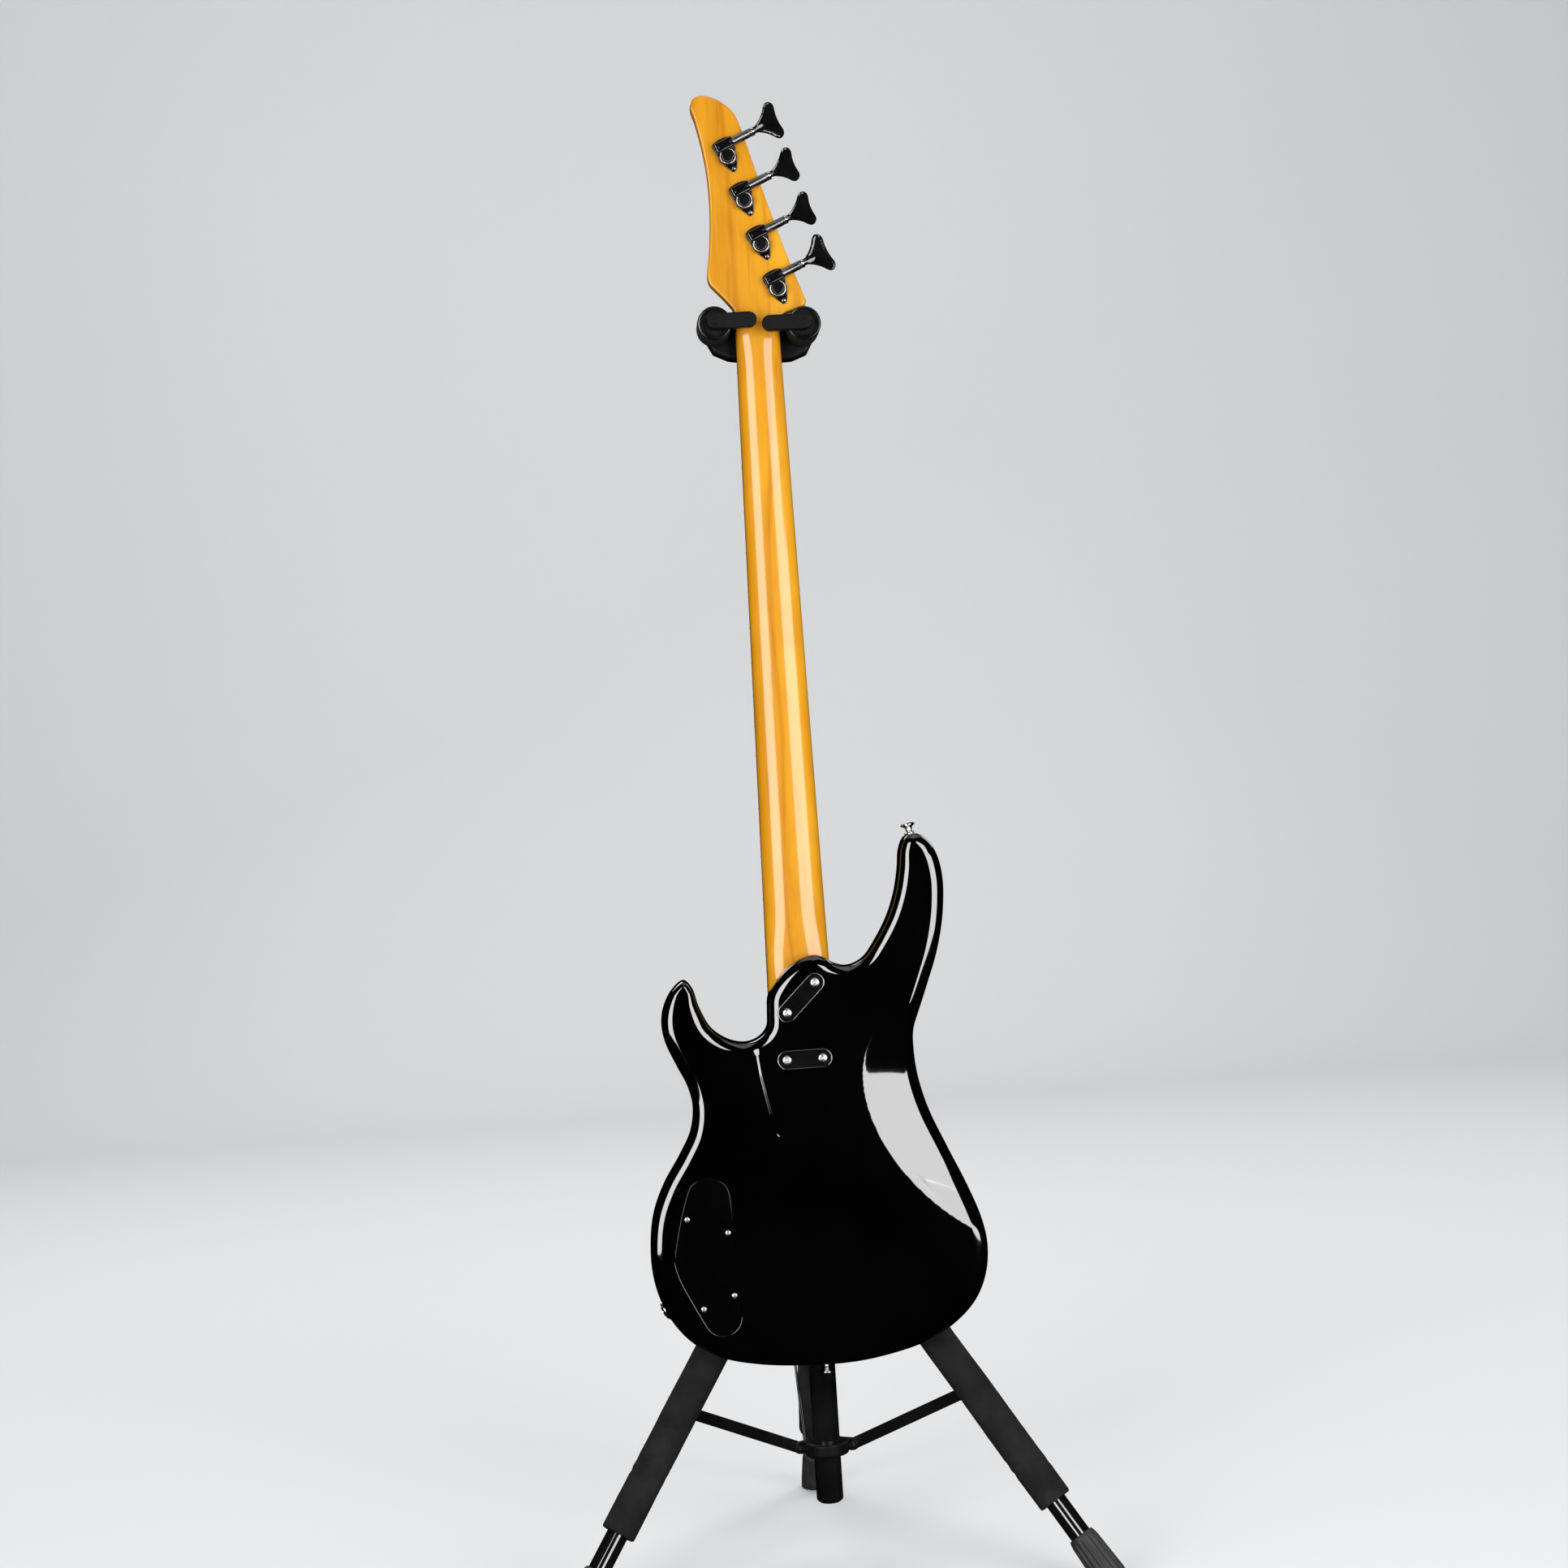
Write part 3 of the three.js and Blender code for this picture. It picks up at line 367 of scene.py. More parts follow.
def turned(profile, segments=48, wobble=None):
    """Solid of revolution about Z. profile lists (radius, z); wobble changes a radius by angle."""
    points, faces, rings = [], [], []
    for r, z in supported(profile):
        if r < 1e-6:
            rings.append((len(points), 1))
            points.append((0, 0, z))
            continue
        rings.append((len(points), segments))
        for a in around(segments):
            q = r + (wobble(a, r, z) if wobble else 0)
            points.append((q * math.cos(a), q * math.sin(a), z))
    for (a, na), (b, nb) in zip(rings, rings[1:]):
        if na > 1 and nb > 1:
            faces += ring_faces(segments, a, b)
        elif na > 1:
            faces += [(a + i, a + (i + 1) % segments, b) for i in range(segments)]
        elif nb > 1:
            faces += [(a, b + (i + 1) % segments, b + i) for i in range(segments)]
    return points, faces


def rounded(profile, radius=0.6, steps=3):
    """Rounds the inner corners of an open profile with small arcs."""
    out = [profile[0]]
    for before, here, after in zip(profile, profile[1:], profile[2:]):
        p, q, s = Vector(before), Vector(here), Vector(after)
        into, away = (q - p), (s - q)
        k = min(radius, into.length * 0.45, away.length * 0.45)
        if k < 1e-4:
            out.append(here)
            continue
        start, end = q - into.normalized() * k, q + away.normalized() * k
        for i in range(steps + 1):
            t = i / steps
            point = (1 - t) ** 2 * start + 2 * t * (1 - t) * q + t * t * end
            out.append((point.x, point.y))
    out.append(profile[-1])
    return out


def chaikin(points, times=3):
    p = np.array(points, float)
    for _ in range(times):
        q = np.roll(p, -1, axis=0)
        p = np.stack([0.75 * p + 0.25 * q, 0.25 * p + 0.75 * q], axis=1).reshape(-1, 2)
    return p


def catmull(points, per=24):
    """Closed centripetal Catmull-Rom curve through the points."""
    p = np.array(points, float)
    out = []
    n = len(p)
    for i in range(n):
        p0, p1, p2, p3 = p[i - 1], p[i], p[(i + 1) % n], p[(i + 2) % n]
        t0 = 0
        t1 = t0 + np.linalg.norm(p1 - p0) ** 0.5
        t2 = t1 + np.linalg.norm(p2 - p1) ** 0.5
        t3 = t2 + np.linalg.norm(p3 - p2) ** 0.5
        for t in np.linspace(t1, t2, per, endpoint=False):
            a1 = (t1 - t) / (t1 - t0) * p0 + (t - t0) / (t1 - t0) * p1
            a2 = (t2 - t) / (t2 - t1) * p1 + (t - t1) / (t2 - t1) * p2
            a3 = (t3 - t) / (t3 - t2) * p2 + (t - t2) / (t3 - t2) * p3
            b1 = (t2 - t) / (t2 - t0) * a1 + (t - t0) / (t2 - t0) * a2
            b2 = (t3 - t) / (t3 - t1) * a2 + (t - t1) / (t3 - t1) * a3
            out.append((t2 - t) / (t2 - t1) * b1 + (t - t1) / (t2 - t1) * b2)
    return np.array(out)


def resample(ring, spacing):
    closed = np.vstack([ring, ring[:1]])
    steps = np.linalg.norm(np.diff(closed, axis=0), axis=1)
    along = np.concatenate([[0], np.cumsum(steps)])
    n = max(12, int(round(along[-1] / spacing)))
    at = np.linspace(0, along[-1], n, endpoint=False)
    return np.stack([np.interp(at, along, closed[:, k]) for k in (0, 1)], axis=1)


def outward(ring):
    """Unit normals of a counterclockwise ring, pointing out."""
    t = np.roll(ring, -1, axis=0) - np.roll(ring, 1, axis=0)
    t /= np.linalg.norm(t, axis=1)[:, None]
    return np.stack([t[:, 1], -t[:, 0]], axis=1)


def counterclockwise(ring):
    x, z = ring[:, 0], ring[:, 1]
    return ring[::-1] if np.sum(x * np.roll(z, -1) - np.roll(x, -1) * z) < 0 else ring


def slab(outline, y0, y1, r=1.0, steps=4, r_front=None):
    """Plate whose outline lies in x, z, from y0 (back) to y1 (front), with rounded rims."""
    ring = counterclockwise(np.array(outline, float))
    out = outward(ring)
    n = len(ring)
    points, faces = [], []
    r_front = r if r_front is None else r_front
    rims = [(r + 0.15, y0)]
    rims += [(r * (1 - math.sin(a)), y0 + r * (1 - math.cos(a)))
             for a in np.linspace(0, math.pi / 2, steps + 1)]
    rims += [(r_front * (1 - math.cos(a)), y1 - r_front * (1 - math.sin(a)))
             for a in np.linspace(0, math.pi / 2, steps + 1)]
    rims.append((r_front + 0.15, y1))
    for inset, y in rims:
        for (x, z), (nx, nz) in zip(ring, out):
            points.append((x - nx * inset, y, z - nz * inset))
    for k in range(len(rims) - 1):
        faces += ring_faces(n, k * n, (k + 1) * n)
    faces.append(tuple(range(n))[::-1])
    faces.append(tuple(range((len(rims) - 1) * n, len(rims) * n)))
    return points, faces


def pill(a, b, r, steps=16):
    angle = math.atan2(b[1] - a[1], b[0] - a[0])
    out = []
    for centre, start in ((b, angle - math.pi / 2), (a, angle + math.pi / 2)):
        out += [(centre[0] + r * math.cos(start + t), centre[1] + r * math.sin(start + t))
                for t in np.linspace(0, math.pi, steps)]
    return out


def rectangle(x0, x1, z0, z1, r, steps=5):
    out = []
    for cx, cz, start in ((x1 - r, z0 + r, -90), (x1 - r, z1 - r, 0), (x0 + r, z1 - r, 90),
                          (x0 + r, z0 + r, 180)):
        out += [(cx + r * math.cos(math.radians(start + t)), cz + r * math.sin(math.radians(start + t)))
                for t in np.linspace(0, 90, steps)]
    return out


def sweep(path, r, sides=12):
    """Round bar along a list of points, closed at both ends."""
    path = [Vector(p) for p in path]
    tangents = [(path[min(i + 1, len(path) - 1)] - path[max(i - 1, 0)]).normalized()
                for i in range(len(path))]
    side = tangents[0].orthogonal().normalized()
    points, faces = [], []
    for p, t in zip(path, tangents):
        side = (side - t * side.dot(t)).normalized()
        other = t.cross(side)
        for a in around(sides):
            points.append(tuple(p + r * (math.cos(a) * side + math.sin(a) * other)))
    for k in range(len(path) - 1):
        faces += ring_faces(sides, k * sides, (k + 1) * sides)
    faces.append(tuple(range(sides))[::-1])
    last = (len(path) - 1) * sides
    faces.append(tuple(range(last, last + sides)))
    return points, faces


def screw(r, height, slot="cross", rings=9, segments=48):
    """Domed head standing on z = 0 with a recess for the driver."""
    points, faces = [(0, 0, height - 0.9)], []
    deep = 0.34 * r
    for k in range(1, rings + 1):
        q = r * math.sin(math.pi / 2 * k / rings)
        for a in around(segments):
            x, y = q * math.cos(a), q * math.sin(a)
            z = height * (1 - 0.55 * (q / r) ** 4)
            if slot == "cross":
                arm = min(abs(x), abs(y)) < 0.13 * r and max(abs(x), abs(y)) < 0.6 * r
            elif slot == "hex":
                arm = q < 0.5 * r
            else:
                arm = abs(x) < 0.14 * r
            points.append((x, y, z - (deep if arm else 0)))
    faces += [(0, 1 + i, 1 + (i + 1) % segments) for i in range(segments)]
    for k in range(rings - 1):
        faces += ring_faces(segments, 1 + k * segments, 1 + (k + 1) * segments)
    k = len(points)
    points += [(r * math.cos(a), r * math.sin(a), -0.6) for a in around(segments)]
    faces += ring_faces(segments, k - segments, k)
    faces.append(tuple(range(k, k + segments))[::-1])
    return points, faces


def piece(name, shape, material, body, matrix=GUITAR, replaces=(), sharp=38,
          normals=None, on_floor=False):
    points, faces = shape
    mesh = bpy.data.meshes.new(name)
    mesh.from_pydata([matrix @ Vector(p) for p in points], [], faces)
    if normals is None:
        bm = bmesh.new()
        bm.from_mesh(mesh)
        if on_floor:  # cuts the piece flat where it stands on the floor
            whole = bm.verts[:] + bm.edges[:] + bm.faces[:]
            cut = bmesh.ops.bisect_plane(bm, geom=whole, plane_co=(0, 0, 0), plane_no=(0, 0, 1),
                                         clear_inner=True)
            rim = [e for e in cut["geom_cut"] if isinstance(e, bmesh.types.BMEdge)]
            bmesh.ops.edgeloop_fill(bm, edges=rim)
        bmesh.ops.recalc_face_normals(bm, faces=bm.faces)
        bm.to_mesh(mesh)
        bm.free()
    mesh.polygons.foreach_set("use_smooth", [True] * len(mesh.polygons))
    if normals is None:
        mesh.set_sharp_from_angle(angle=math.radians(sharp))
    else:
        turn = matrix.to_3x3().normalized()
        mesh.normals_split_custom_set_from_vertices([turn @ Vector(n) for n in normals])
    mesh.materials.append(MAT[material])
    obj = bpy.data.objects.new(name, mesh)
    bpy.context.scene.collection.objects.link(obj)
    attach(obj, body)
    if replaces:
        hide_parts(*([replaces] if isinstance(replaces, str) else replaces))
    return obj


def moulded(name, node, material, body, slot, voxel=0.8, soften=6):
    """A CAD solid with softly rounded edges, as moulded plastic has."""
    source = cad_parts[node]
    obj = bpy.data.objects.new(name, source.data.copy())
    bpy.context.scene.collection.objects.link(obj)
    obj.data.materials.clear()
    remesh = obj.modifiers.new("remesh", "REMESH")
    remesh.mode = "VOXEL"
    remesh.voxel_size = voxel * MM
    smooth = obj.modifiers.new("smooth", "SMOOTH")
    smooth.iterations = soften
    smooth.factor = 0.5
    graph = bpy.context.evaluated_depsgraph_get()
    mesh = bpy.data.meshes.new_from_object(obj.evaluated_get(graph))
    obj.modifiers.clear()
    obj.data = mesh
    mesh.name = name
    mesh.polygons.foreach_set("use_smooth", [True] * len(mesh.polygons))
    mesh.materials.clear()
    mesh.materials.append(MAT[material])
    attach(obj, body)
    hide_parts(node)
    return obj


# ---------------------------------------------------------------- guitar body
BODY_THICK, SPACING = 40, 2.6
EDGE_WIDE, EDGE_DEEP = 12.5, 8.5  # the rounding of the rim, across the face and down the side
COVER_GAP, LIP, POCKET_Y = 0.4, 0.7, -36.8  # recess of the control cover
BODY_OUTLINE = [
    (-107, -609), (-118, -616.5), (-127, -632), (-130, -647), (-127.5, -664), (-118, -687),
    (-109.5, -706), (-106, -726), (-109.5, -748), (-120.5, -769), (-137, -795), (-148, -821),
    (-152.5, -848), (-152, -875), (-146, -900), (-135, -922), (-118, -941), (-94, -955),
    (-60, -963.5), (-15, -967.6), (29, -967.3), (64, -962), (93, -954), (120.5, -939.5),
    (142, -919), (153, -896), (156.5, -870), (153, -845), (143, -816), (126, -777),
    (111.5, -742), (103.5, -711), (101, -686), (101.5, -668), (106.5, -652), (116, -627),
    (126, -600), (132.5, -575), (136, -551), (136.6, -529), (133, -509), (125.5, -495),
    (114.5, -487.5), (104.5, -490), (99, -501), (96.5, -519.5), (92, -540.5), (84, -562),
    (71.5, -583.5), (58.5, -599.5), (44, -605), (31, -601.5), (24, -596.5), (14, -593),
    (2, -595.5), (-11, -603.5), (-22, -615), (-30.5, -629), (-32, -643), (-33.5, -657),
    (-41, -665.5), (-53, -669.5), (-68, -666.5), (-84, -655), (-94.5, -634), (-99.5, -617)]
COVER_OUTLINE = [
    (-116, -800), (-109, -792), (-98.5, -789), (-86, -792), (-78.5, -799), (-76.5, -812),
    (-73.5, -910), (-74.5, -924), (-82, -932), (-92, -934.6), (-102, -930), (-108.5, -918),
    (-132.7, -869.5), (-128, -842)]
# Belly cut: centre x, z, half axes, depth and turn of a bowl scooped out of the back.
BELLY_X, BELLY_Z, BELLY_ACROSS, BELLY_ALONG, BELLY_DEPTH, BELLY_TURN = 170, -760, 88, 139, 18, 0.8
BELLY_SOFT = 0.9
# Crest of the relief on the treble side of the heel, and how deep the wood falls beside it.
CREST = np.array([(-45, -655), (-43.4, -678), (-41, -699), (-37.6, -717), (-33.6, -736),
                  (-30.4, -748), (-26.5, -759)], float)
CREST_DEPTH, CREST_WIDTH = 0.6, 1.6


def smoothstep(t):
    t = np.clip(t, 0, 1)
    return t * t * (3 - 2 * t)


def back_relief(x, z):
    """How far the back of the body lies in front of its flat plane."""
    dx, dz = x - BELLY_X, z - BELLY_Z
    c, s = math.cos(BELLY_TURN), math.sin(BELLY_TURN)
    across, along = dx * c + dz * s, dz * c - dx * s
    rho = np.hypot(across / BELLY_ACROSS, along / BELLY_ALONG) + 1e-6
    steep = np.hypot(across / BELLY_ACROSS ** 2, along / BELLY_ALONG ** 2) / rho
    into = np.clip((1 - rho) / steep, -60, BELLY_ACROSS)
    bowl = BELLY_DEPTH * (2 * into / BELLY_ACROSS - np.sign(into) * (into / BELLY_ACROSS) ** 2)
    relief = 0.5 * (bowl + np.sqrt(bowl * bowl + BELLY_SOFT ** 2)) - 0.25 * BELLY_SOFT ** 2 / 20
    best = np.full(x.shape, 1e9)
    side = np.zeros(x.shape)
    along = np.zeros(x.shape)
    total = len(CREST) - 1
    for k in range(total):
        a, b = CREST[k], CREST[k + 1]
        ab = b - a
        t = np.clip(((x - a[0]) * ab[0] + (z - a[1]) * ab[1]) / (ab @ ab), 0, 1)
        px, pz = x - a[0] - t * ab[0], z - a[1] - t * ab[1]
        d = np.hypot(px, pz)
        closer = d < best
        best = np.where(closer, d, best)
        side = np.where(closer, ab[0] * pz - ab[1] * px, side)
        along = np.where(closer, (k + t) / total, along)
    left = side < 0
    fade = (1 - smoothstep((best - 12) / 40)) * (1 - smoothstep((along - 0.9) / 0.1))
    carve = CREST_DEPTH * (1 - np.exp(-(best / CREST_WIDTH) ** 2)) * fade
    return relief + np.where(left, carve, 0)


def back_height(x, z):
    return -BODY_THICK + back_relief(np.asarray(x, float), np.asarray(z, float))


def back_normal(x, z, step=0.4):
    gx = (back_height(x + step, z) - back_height(x - step, z)) / (2 * step)
    gz = (back_height(x, z + step) - back_height(x, z - step)) / (2 * step)
    n = np.stack([gx, -np.ones_like(gx), gz], axis=1)
    return n / np.linalg.norm(n, axis=1)[:, None]


def inside(points, ring):
    x, z = points[:, 0], points[:, 1]
    result = np.zeros(len(points), bool)
    for (x0, z0), (x1, z1) in zip(ring, np.roll(ring, -1, axis=0)):
        crosses = (z0 > z) != (z1 > z)
        with np.errstate(divide="ignore", invalid="ignore"):
            at = (x1 - x0) * (z - z0) / (z1 - z0) + x0
        result ^= crosses & (x < at)
    return result


def crest_rows():
    """Closely set points along the crest, where the surface turns quickly."""
    steps = np.linspace(0, 1, 60)
    lengths = np.concatenate([[0], np.cumsum(np.linalg.norm(np.diff(CREST, axis=0), axis=1))])
    line = np.stack([np.interp(steps * lengths[-1], lengths, CREST[:, k]) for k in (0, 1)], axis=1)
    tangent = np.gradient(line, axis=0)
    tangent /= np.linalg.norm(tangent, axis=1)[:, None]
    left = np.stack([tangent[:, 1], -tangent[:, 0]], axis=1)
    return np.vstack([line + left * d for d in (-0.8, 0, 0.5, 1.0, 1.6, 2.3, 3.2, 4.6)])


def triangulate(rings, grid_spacing=None, clear=1.5, extra=None):
    """Triangles of the area inside rings[0] and outside the others, with an optional grid."""
    flat = np.vstack(rings)
    edges, start = [], 0
    for ring in rings:
        n = len(ring)
        edges += [(start + i, start + (i + 1) % n) for i in range(n)]
        start += n
    if grid_spacing:
        lo, hi = rings[0].min(axis=0), rings[0].max(axis=0)
        rows = np.arange(lo[1], hi[1], grid_spacing * 0.866)
        grid = np.array([(x + (0.5 * grid_spacing if k % 2 else 0), z) for k, z in enumerate(rows)
                         for x in np.arange(lo[0], hi[0], grid_spacing)])
        grid = grid[inside(grid, rings[0])]
        for hole in rings[1:]:
            grid = grid[~inside(grid, hole)]
        if extra is not None:
            grid = grid[[np.min(np.hypot(*(extra - p).T)) > 1.0 for p in grid]]
            grid = np.vstack([grid, extra[inside(extra, rings[0])]])
        near = np.array([np.min(np.hypot(*(flat - p).T)) for p in grid])
        flat = np.vstack([flat, grid[near > clear]])
    verts, _, faces, *_ = delaunay_2d_cdt([Vector(p) for p in flat], edges, [], 0, 1e-5)
    verts = np.array([tuple(v) for v in verts])
    faces = np.array(faces)
    middle = verts[faces].mean(axis=1)
    keep = inside(middle, rings[0])
    for hole in rings[1:]:
        keep &= ~inside(middle, hole)
    faces = faces[keep]
    ordered = verts[faces]
    a, b = ordered[:, 1] - ordered[:, 0], ordered[:, 2] - ordered[:, 0]
    flip = a[:, 0] * b[:, 1] - a[:, 1] * b[:, 0] < 0
    faces[flip] = faces[flip][:, ::-1]
    return verts, faces


def edge_reach(ring, out):
    """How far in the rim's rounding may start at each point without crossing itself."""
    reach = np.full(len(ring), 6.0)
    for d in np.arange(6.5, EDGE_WIDE + 0.1, 0.5):
        at = ring - out * d
        clear = np.array([np.min(np.hypot(*(ring - p).T)) for p in at])
        reach = np.where((clear > d - 0.2) & (reach > d - 0.6), d, reach)
    reach = np.where(reach < EDGE_WIDE, reach * 0.86, reach)
    n = len(ring)
    low = np.array([min(reach[(i + k) % n] for k in range(-5, 6)) for i in range(n)])
    kernel = np.hanning(23)
    kernel /= kernel.sum()
    return np.convolve(np.concatenate([low[-11:], low, low[:11]]), kernel, "valid")


def make_body():
    ring = counterclockwise(resample(catmull(BODY_OUTLINE), SPACING))
    out = outward(ring)
    hole = counterclockwise(resample(chaikin(COVER_OUTLINE, 4), 2.0))
    hole = hole + outward(hole) * COVER_GAP
    reach = edge_reach(ring, out)
    inner = ring - out * reach[:, None]
    verts, faces, normals = [], [], []

    def add(points, normal, tris):
        k = len(verts)
        verts.extend(tuple(p) for p in points)
        normals.extend(tuple(n) for n in normal)
        faces.extend(tuple(k + i for i in f) for f in tris)
        return k

    flat, tris = triangulate([inner, hole + outward(hole) * LIP], 3.2, extra=crest_rows())
    back = np.stack([flat[:, 0], back_height(flat[:, 0], flat[:, 1]), flat[:, 1]], axis=1)
    add(back, back_normal(flat[:, 0], flat[:, 1]), tris)
    n = len(ring)
    side = np.stack([out[:, 0], np.zeros(n), out[:, 1]], axis=1)
    previous = None
    for phi in np.linspace(0, math.pi / 2, 13):
        at = ring - out * (reach * (1 - math.sin(phi)))[:, None]
        y = back_height(at[:, 0], at[:, 1]) + EDGE_DEEP * (1 - math.cos(phi))
        normal = (reach * math.cos(phi))[:, None] * back_normal(at[:, 0], at[:, 1])
        normal += EDGE_DEEP * math.sin(phi) * side
        normal /= np.linalg.norm(normal, axis=1)[:, None]
        k = add(np.stack([at[:, 0], y, at[:, 1]], axis=1), normal, [])
        if previous is not None:
            faces.extend(ring_faces(n, k, previous))
        previous = k
    front = np.zeros((n, 3))
    front[:, 1] = 1
    for phi in np.linspace(math.pi / 2, 0, 9):
        at = ring - out * (reach * (1 - math.sin(phi)))[:, None]
        y = np.full(n, -EDGE_DEEP * (1 - math.cos(phi)))
        normal = (reach * math.cos(phi))[:, None] * front + EDGE_DEEP * math.sin(phi) * side
        normal /= np.linalg.norm(normal, axis=1)[:, None]
        k = add(np.stack([at[:, 0], y, at[:, 1]], axis=1), normal, [])
        faces.extend(ring_faces(n, k, previous))
        previous = k
    flat, tris = triangulate([inner])
    add(np.stack([flat[:, 0], np.zeros(len(flat)), flat[:, 1]], axis=1),
        np.tile((0, 1, 0), (len(flat), 1)), tris[:, ::-1])
    m = len(hole)
    inward = -outward(hole)
    wall = np.stack([inward[:, 0], np.zeros(m), inward[:, 1]], axis=1)
    outside = np.tile((0, -1, 0), (m, 1))
    previous = None
    for phi in np.linspace(0, math.pi / 2, 5):
        at = hole - inward * LIP * (1 - math.sin(phi))
        y = np.full(m, -BODY_THICK + LIP * (1 - math.cos(phi)))
        normal = math.cos(phi) * outside + math.sin(phi) * wall
        k = add(np.stack([at[:, 0], y, at[:, 1]], axis=1), normal, [])
        if previous is not None:
            faces.extend(ring_faces(m, previous, k))
        previous = k
    k = add(np.stack([hole[:, 0], np.full(m, POCKET_Y), hole[:, 1]], axis=1), wall, [])
    faces.extend(ring_faces(m, previous, k))
    flat, tris = triangulate([hole])
    add(np.stack([flat[:, 0], np.full(len(flat), POCKET_Y), flat[:, 1]], axis=1),
        np.tile((0, -1, 0), (len(flat), 1)), tris)
    piece("guitar_body", (verts, faces), "black_lacquer", "guitar", replaces="body",
          normals=normals)


# ---------------------------------------------------------------- neck and strings
NUT_WIDTH, NECK_TAPER = 40.5, 0.0292
STATIONS = [6, 0, -12, -40, -150, -300, -432, -540, -585, -612, -632, -660]
BACKS = [-13.6, -12.2, -11.2, -11, -12, -13.2, -14.2, -15, -15.8, -18, -22.5, -24]
HEAD_OUTLINE = [
    (-20.3, -4), (-21.5, 6), (-28.3, 15.7), (-36.5, 25), (-42.6, 32.5), (-43.8, 40), (-41.2, 58),
    (-38.6, 84), (-37.6, 107), (-38.4, 134), (-41.6, 159.6), (-46.4, 183), (-50, 197),
    (-47.5, 204), (-40, 207), (-29, 204.5), (-17, 197), (-8.5, 187), (-5, 178), (-0.5, 163),
    (7.7, 133.5), (20, 91.5), (33.4, 48.5), (42.6, 22.5), (46, 11), (44, 7.2), (33.5, 3.6),
    (24.5, 0.4), (20.4, -4)]
TUNERS = [(-18.2, 147.7), (-5.4, 106.1), (7.5, 64.6), (20.4, 23.1)]
KEY_TURNS = [30, 41, 41, 0]
STRING_R = [1.3, 1.05, 0.8, 0.6]
STRING_X = [-1, -1 / 3, 1 / 3, 1]
SADDLE_Z = -864
BOARD_LENGTH = 658
WINDS = 2.25  # turns of each string round its post


def half_width(z):
    return (NUT_WIDTH - NECK_TAPER * z) / 2


def make_neck():
    zs = np.concatenate([np.arange(6, -60, -1.5), np.arange(-60, -560, -8),
                         np.arange(-560, -661, -1.5)])
    dense = np.arange(20, -680, -0.5)
    back = np.interp(-dense, [-z for z in STATIONS], BACKS)
    kernel = np.hanning(29)
    back = np.convolve(np.pad(back, 14, mode="edge"), kernel / kernel.sum(), "valid")
    points, faces, arc = [], [], 44
    for z in zs:
        w = half_width(min(z, 0))
        deep = 1.5 - float(np.interp(-z, -dense, back))
        roundness = 0.8 - 0.3 * smoothstep((z + 45) / 40) - 0.38 * smoothstep((-545 - z) / 55)
        ring = [(-w, 4, z), (w, 4, z)]
        for i in range(arc):
            a = math.pi * i / (arc - 1)
            ring.append((w * math.cos(a), 1.5 - deep * math.sin(a) ** roundness, z))
        points += ring
    n = arc + 2
    for k in range(len(zs) - 1):
        faces += ring_faces(n, k * n, (k + 1) * n)
    faces += [tuple(range(n)), tuple(range((len(zs) - 1) * n, len(zs) * n))[::-1]]
    w = half_width(-640)
    heel = slab(rectangle(-w, w, -700, -650, 3), -24, 4, 0.8, 3)
    head = slab(resample(catmull(HEAD_OUTLINE, 10), 1.6), -14, 1, 2.2, 6, r_front=1.4)
    piece("neck_maple", merge((points, faces), heel, head), "maple", "guitar", replaces="neck",
          sharp=50)


def make_fingerboard():
    end = -BOARD_LENGTH
    outline = [(-half_width(0), -0.05), (-half_width(end), end), (-14, end - 4), (14, end - 4),
               (half_width(end), end), (half_width(0), -0.05)]
    board = slab(outline, 4.3, 10, 0.25, 2, r_front=0.9)
    piece("fingerboard_rosewood", board, "rosewood", "guitar", replaces="fingerboard",
          sharp=30)
    frets, dots = [], []
    place = [SADDLE_Z * (1 - 2 ** (-k / 12)) for k in range(25)]
    dot = turned([(0, 0), (3.1, 0), (3.1, 0.12), (0, 0.12)], 28)
    for z in place[1:]:
        w = half_width(z) - 0.4
        bar = [(-w, 9.6, z), (-w + 0.5, 10.0, z), (w - 0.5, 10.0, z), (w, 9.6, z)]
        frets.append(sweep(bar, 1.0, 10))
    for k in (3, 5, 7, 9, 12, 15, 17, 19, 21, 24):
        z = (place[k] + place[k - 1]) / 2
        for x in ((-9, 9) if k in (12, 24) else (0,)):
            dots.append(moved(dot, shift(x, 9.95, z) @ ALONG_Y))
    piece("frets", merge(*frets), "fret_wire", "guitar", sharp=60)
    piece("fret_dots", merge(*dots), "pearl", "guitar")
    w = NUT_WIDTH / 2
    shape = [(-w, 4.3), (w, 4.3), (w, 10.6), (w - 2, 12), (-w + 2, 12), (-w, 10.6)]
    nut = slab(shape, 0.3, 4.6, 0.6, 3)
    nut = [(x, z, y) for x, y, z in nut[0]], nut[1]
    piece("nut_bone", nut, "bone", "guitar", replaces="nut", sharp=40)
    rod = sweep([(0, -1.2, -11), (0, -1.2, -596)], 2.4, 20)
    cap = moved(turned(rounded([(0, -20), (2.9, -20), (2.9, 0), (0, 0)], 0.5), 24), shift(0, -1.2, -11))
    piece("truss_rod_steel", merge(rod, cap), "nickel", "guitar", replaces="truss_rod")


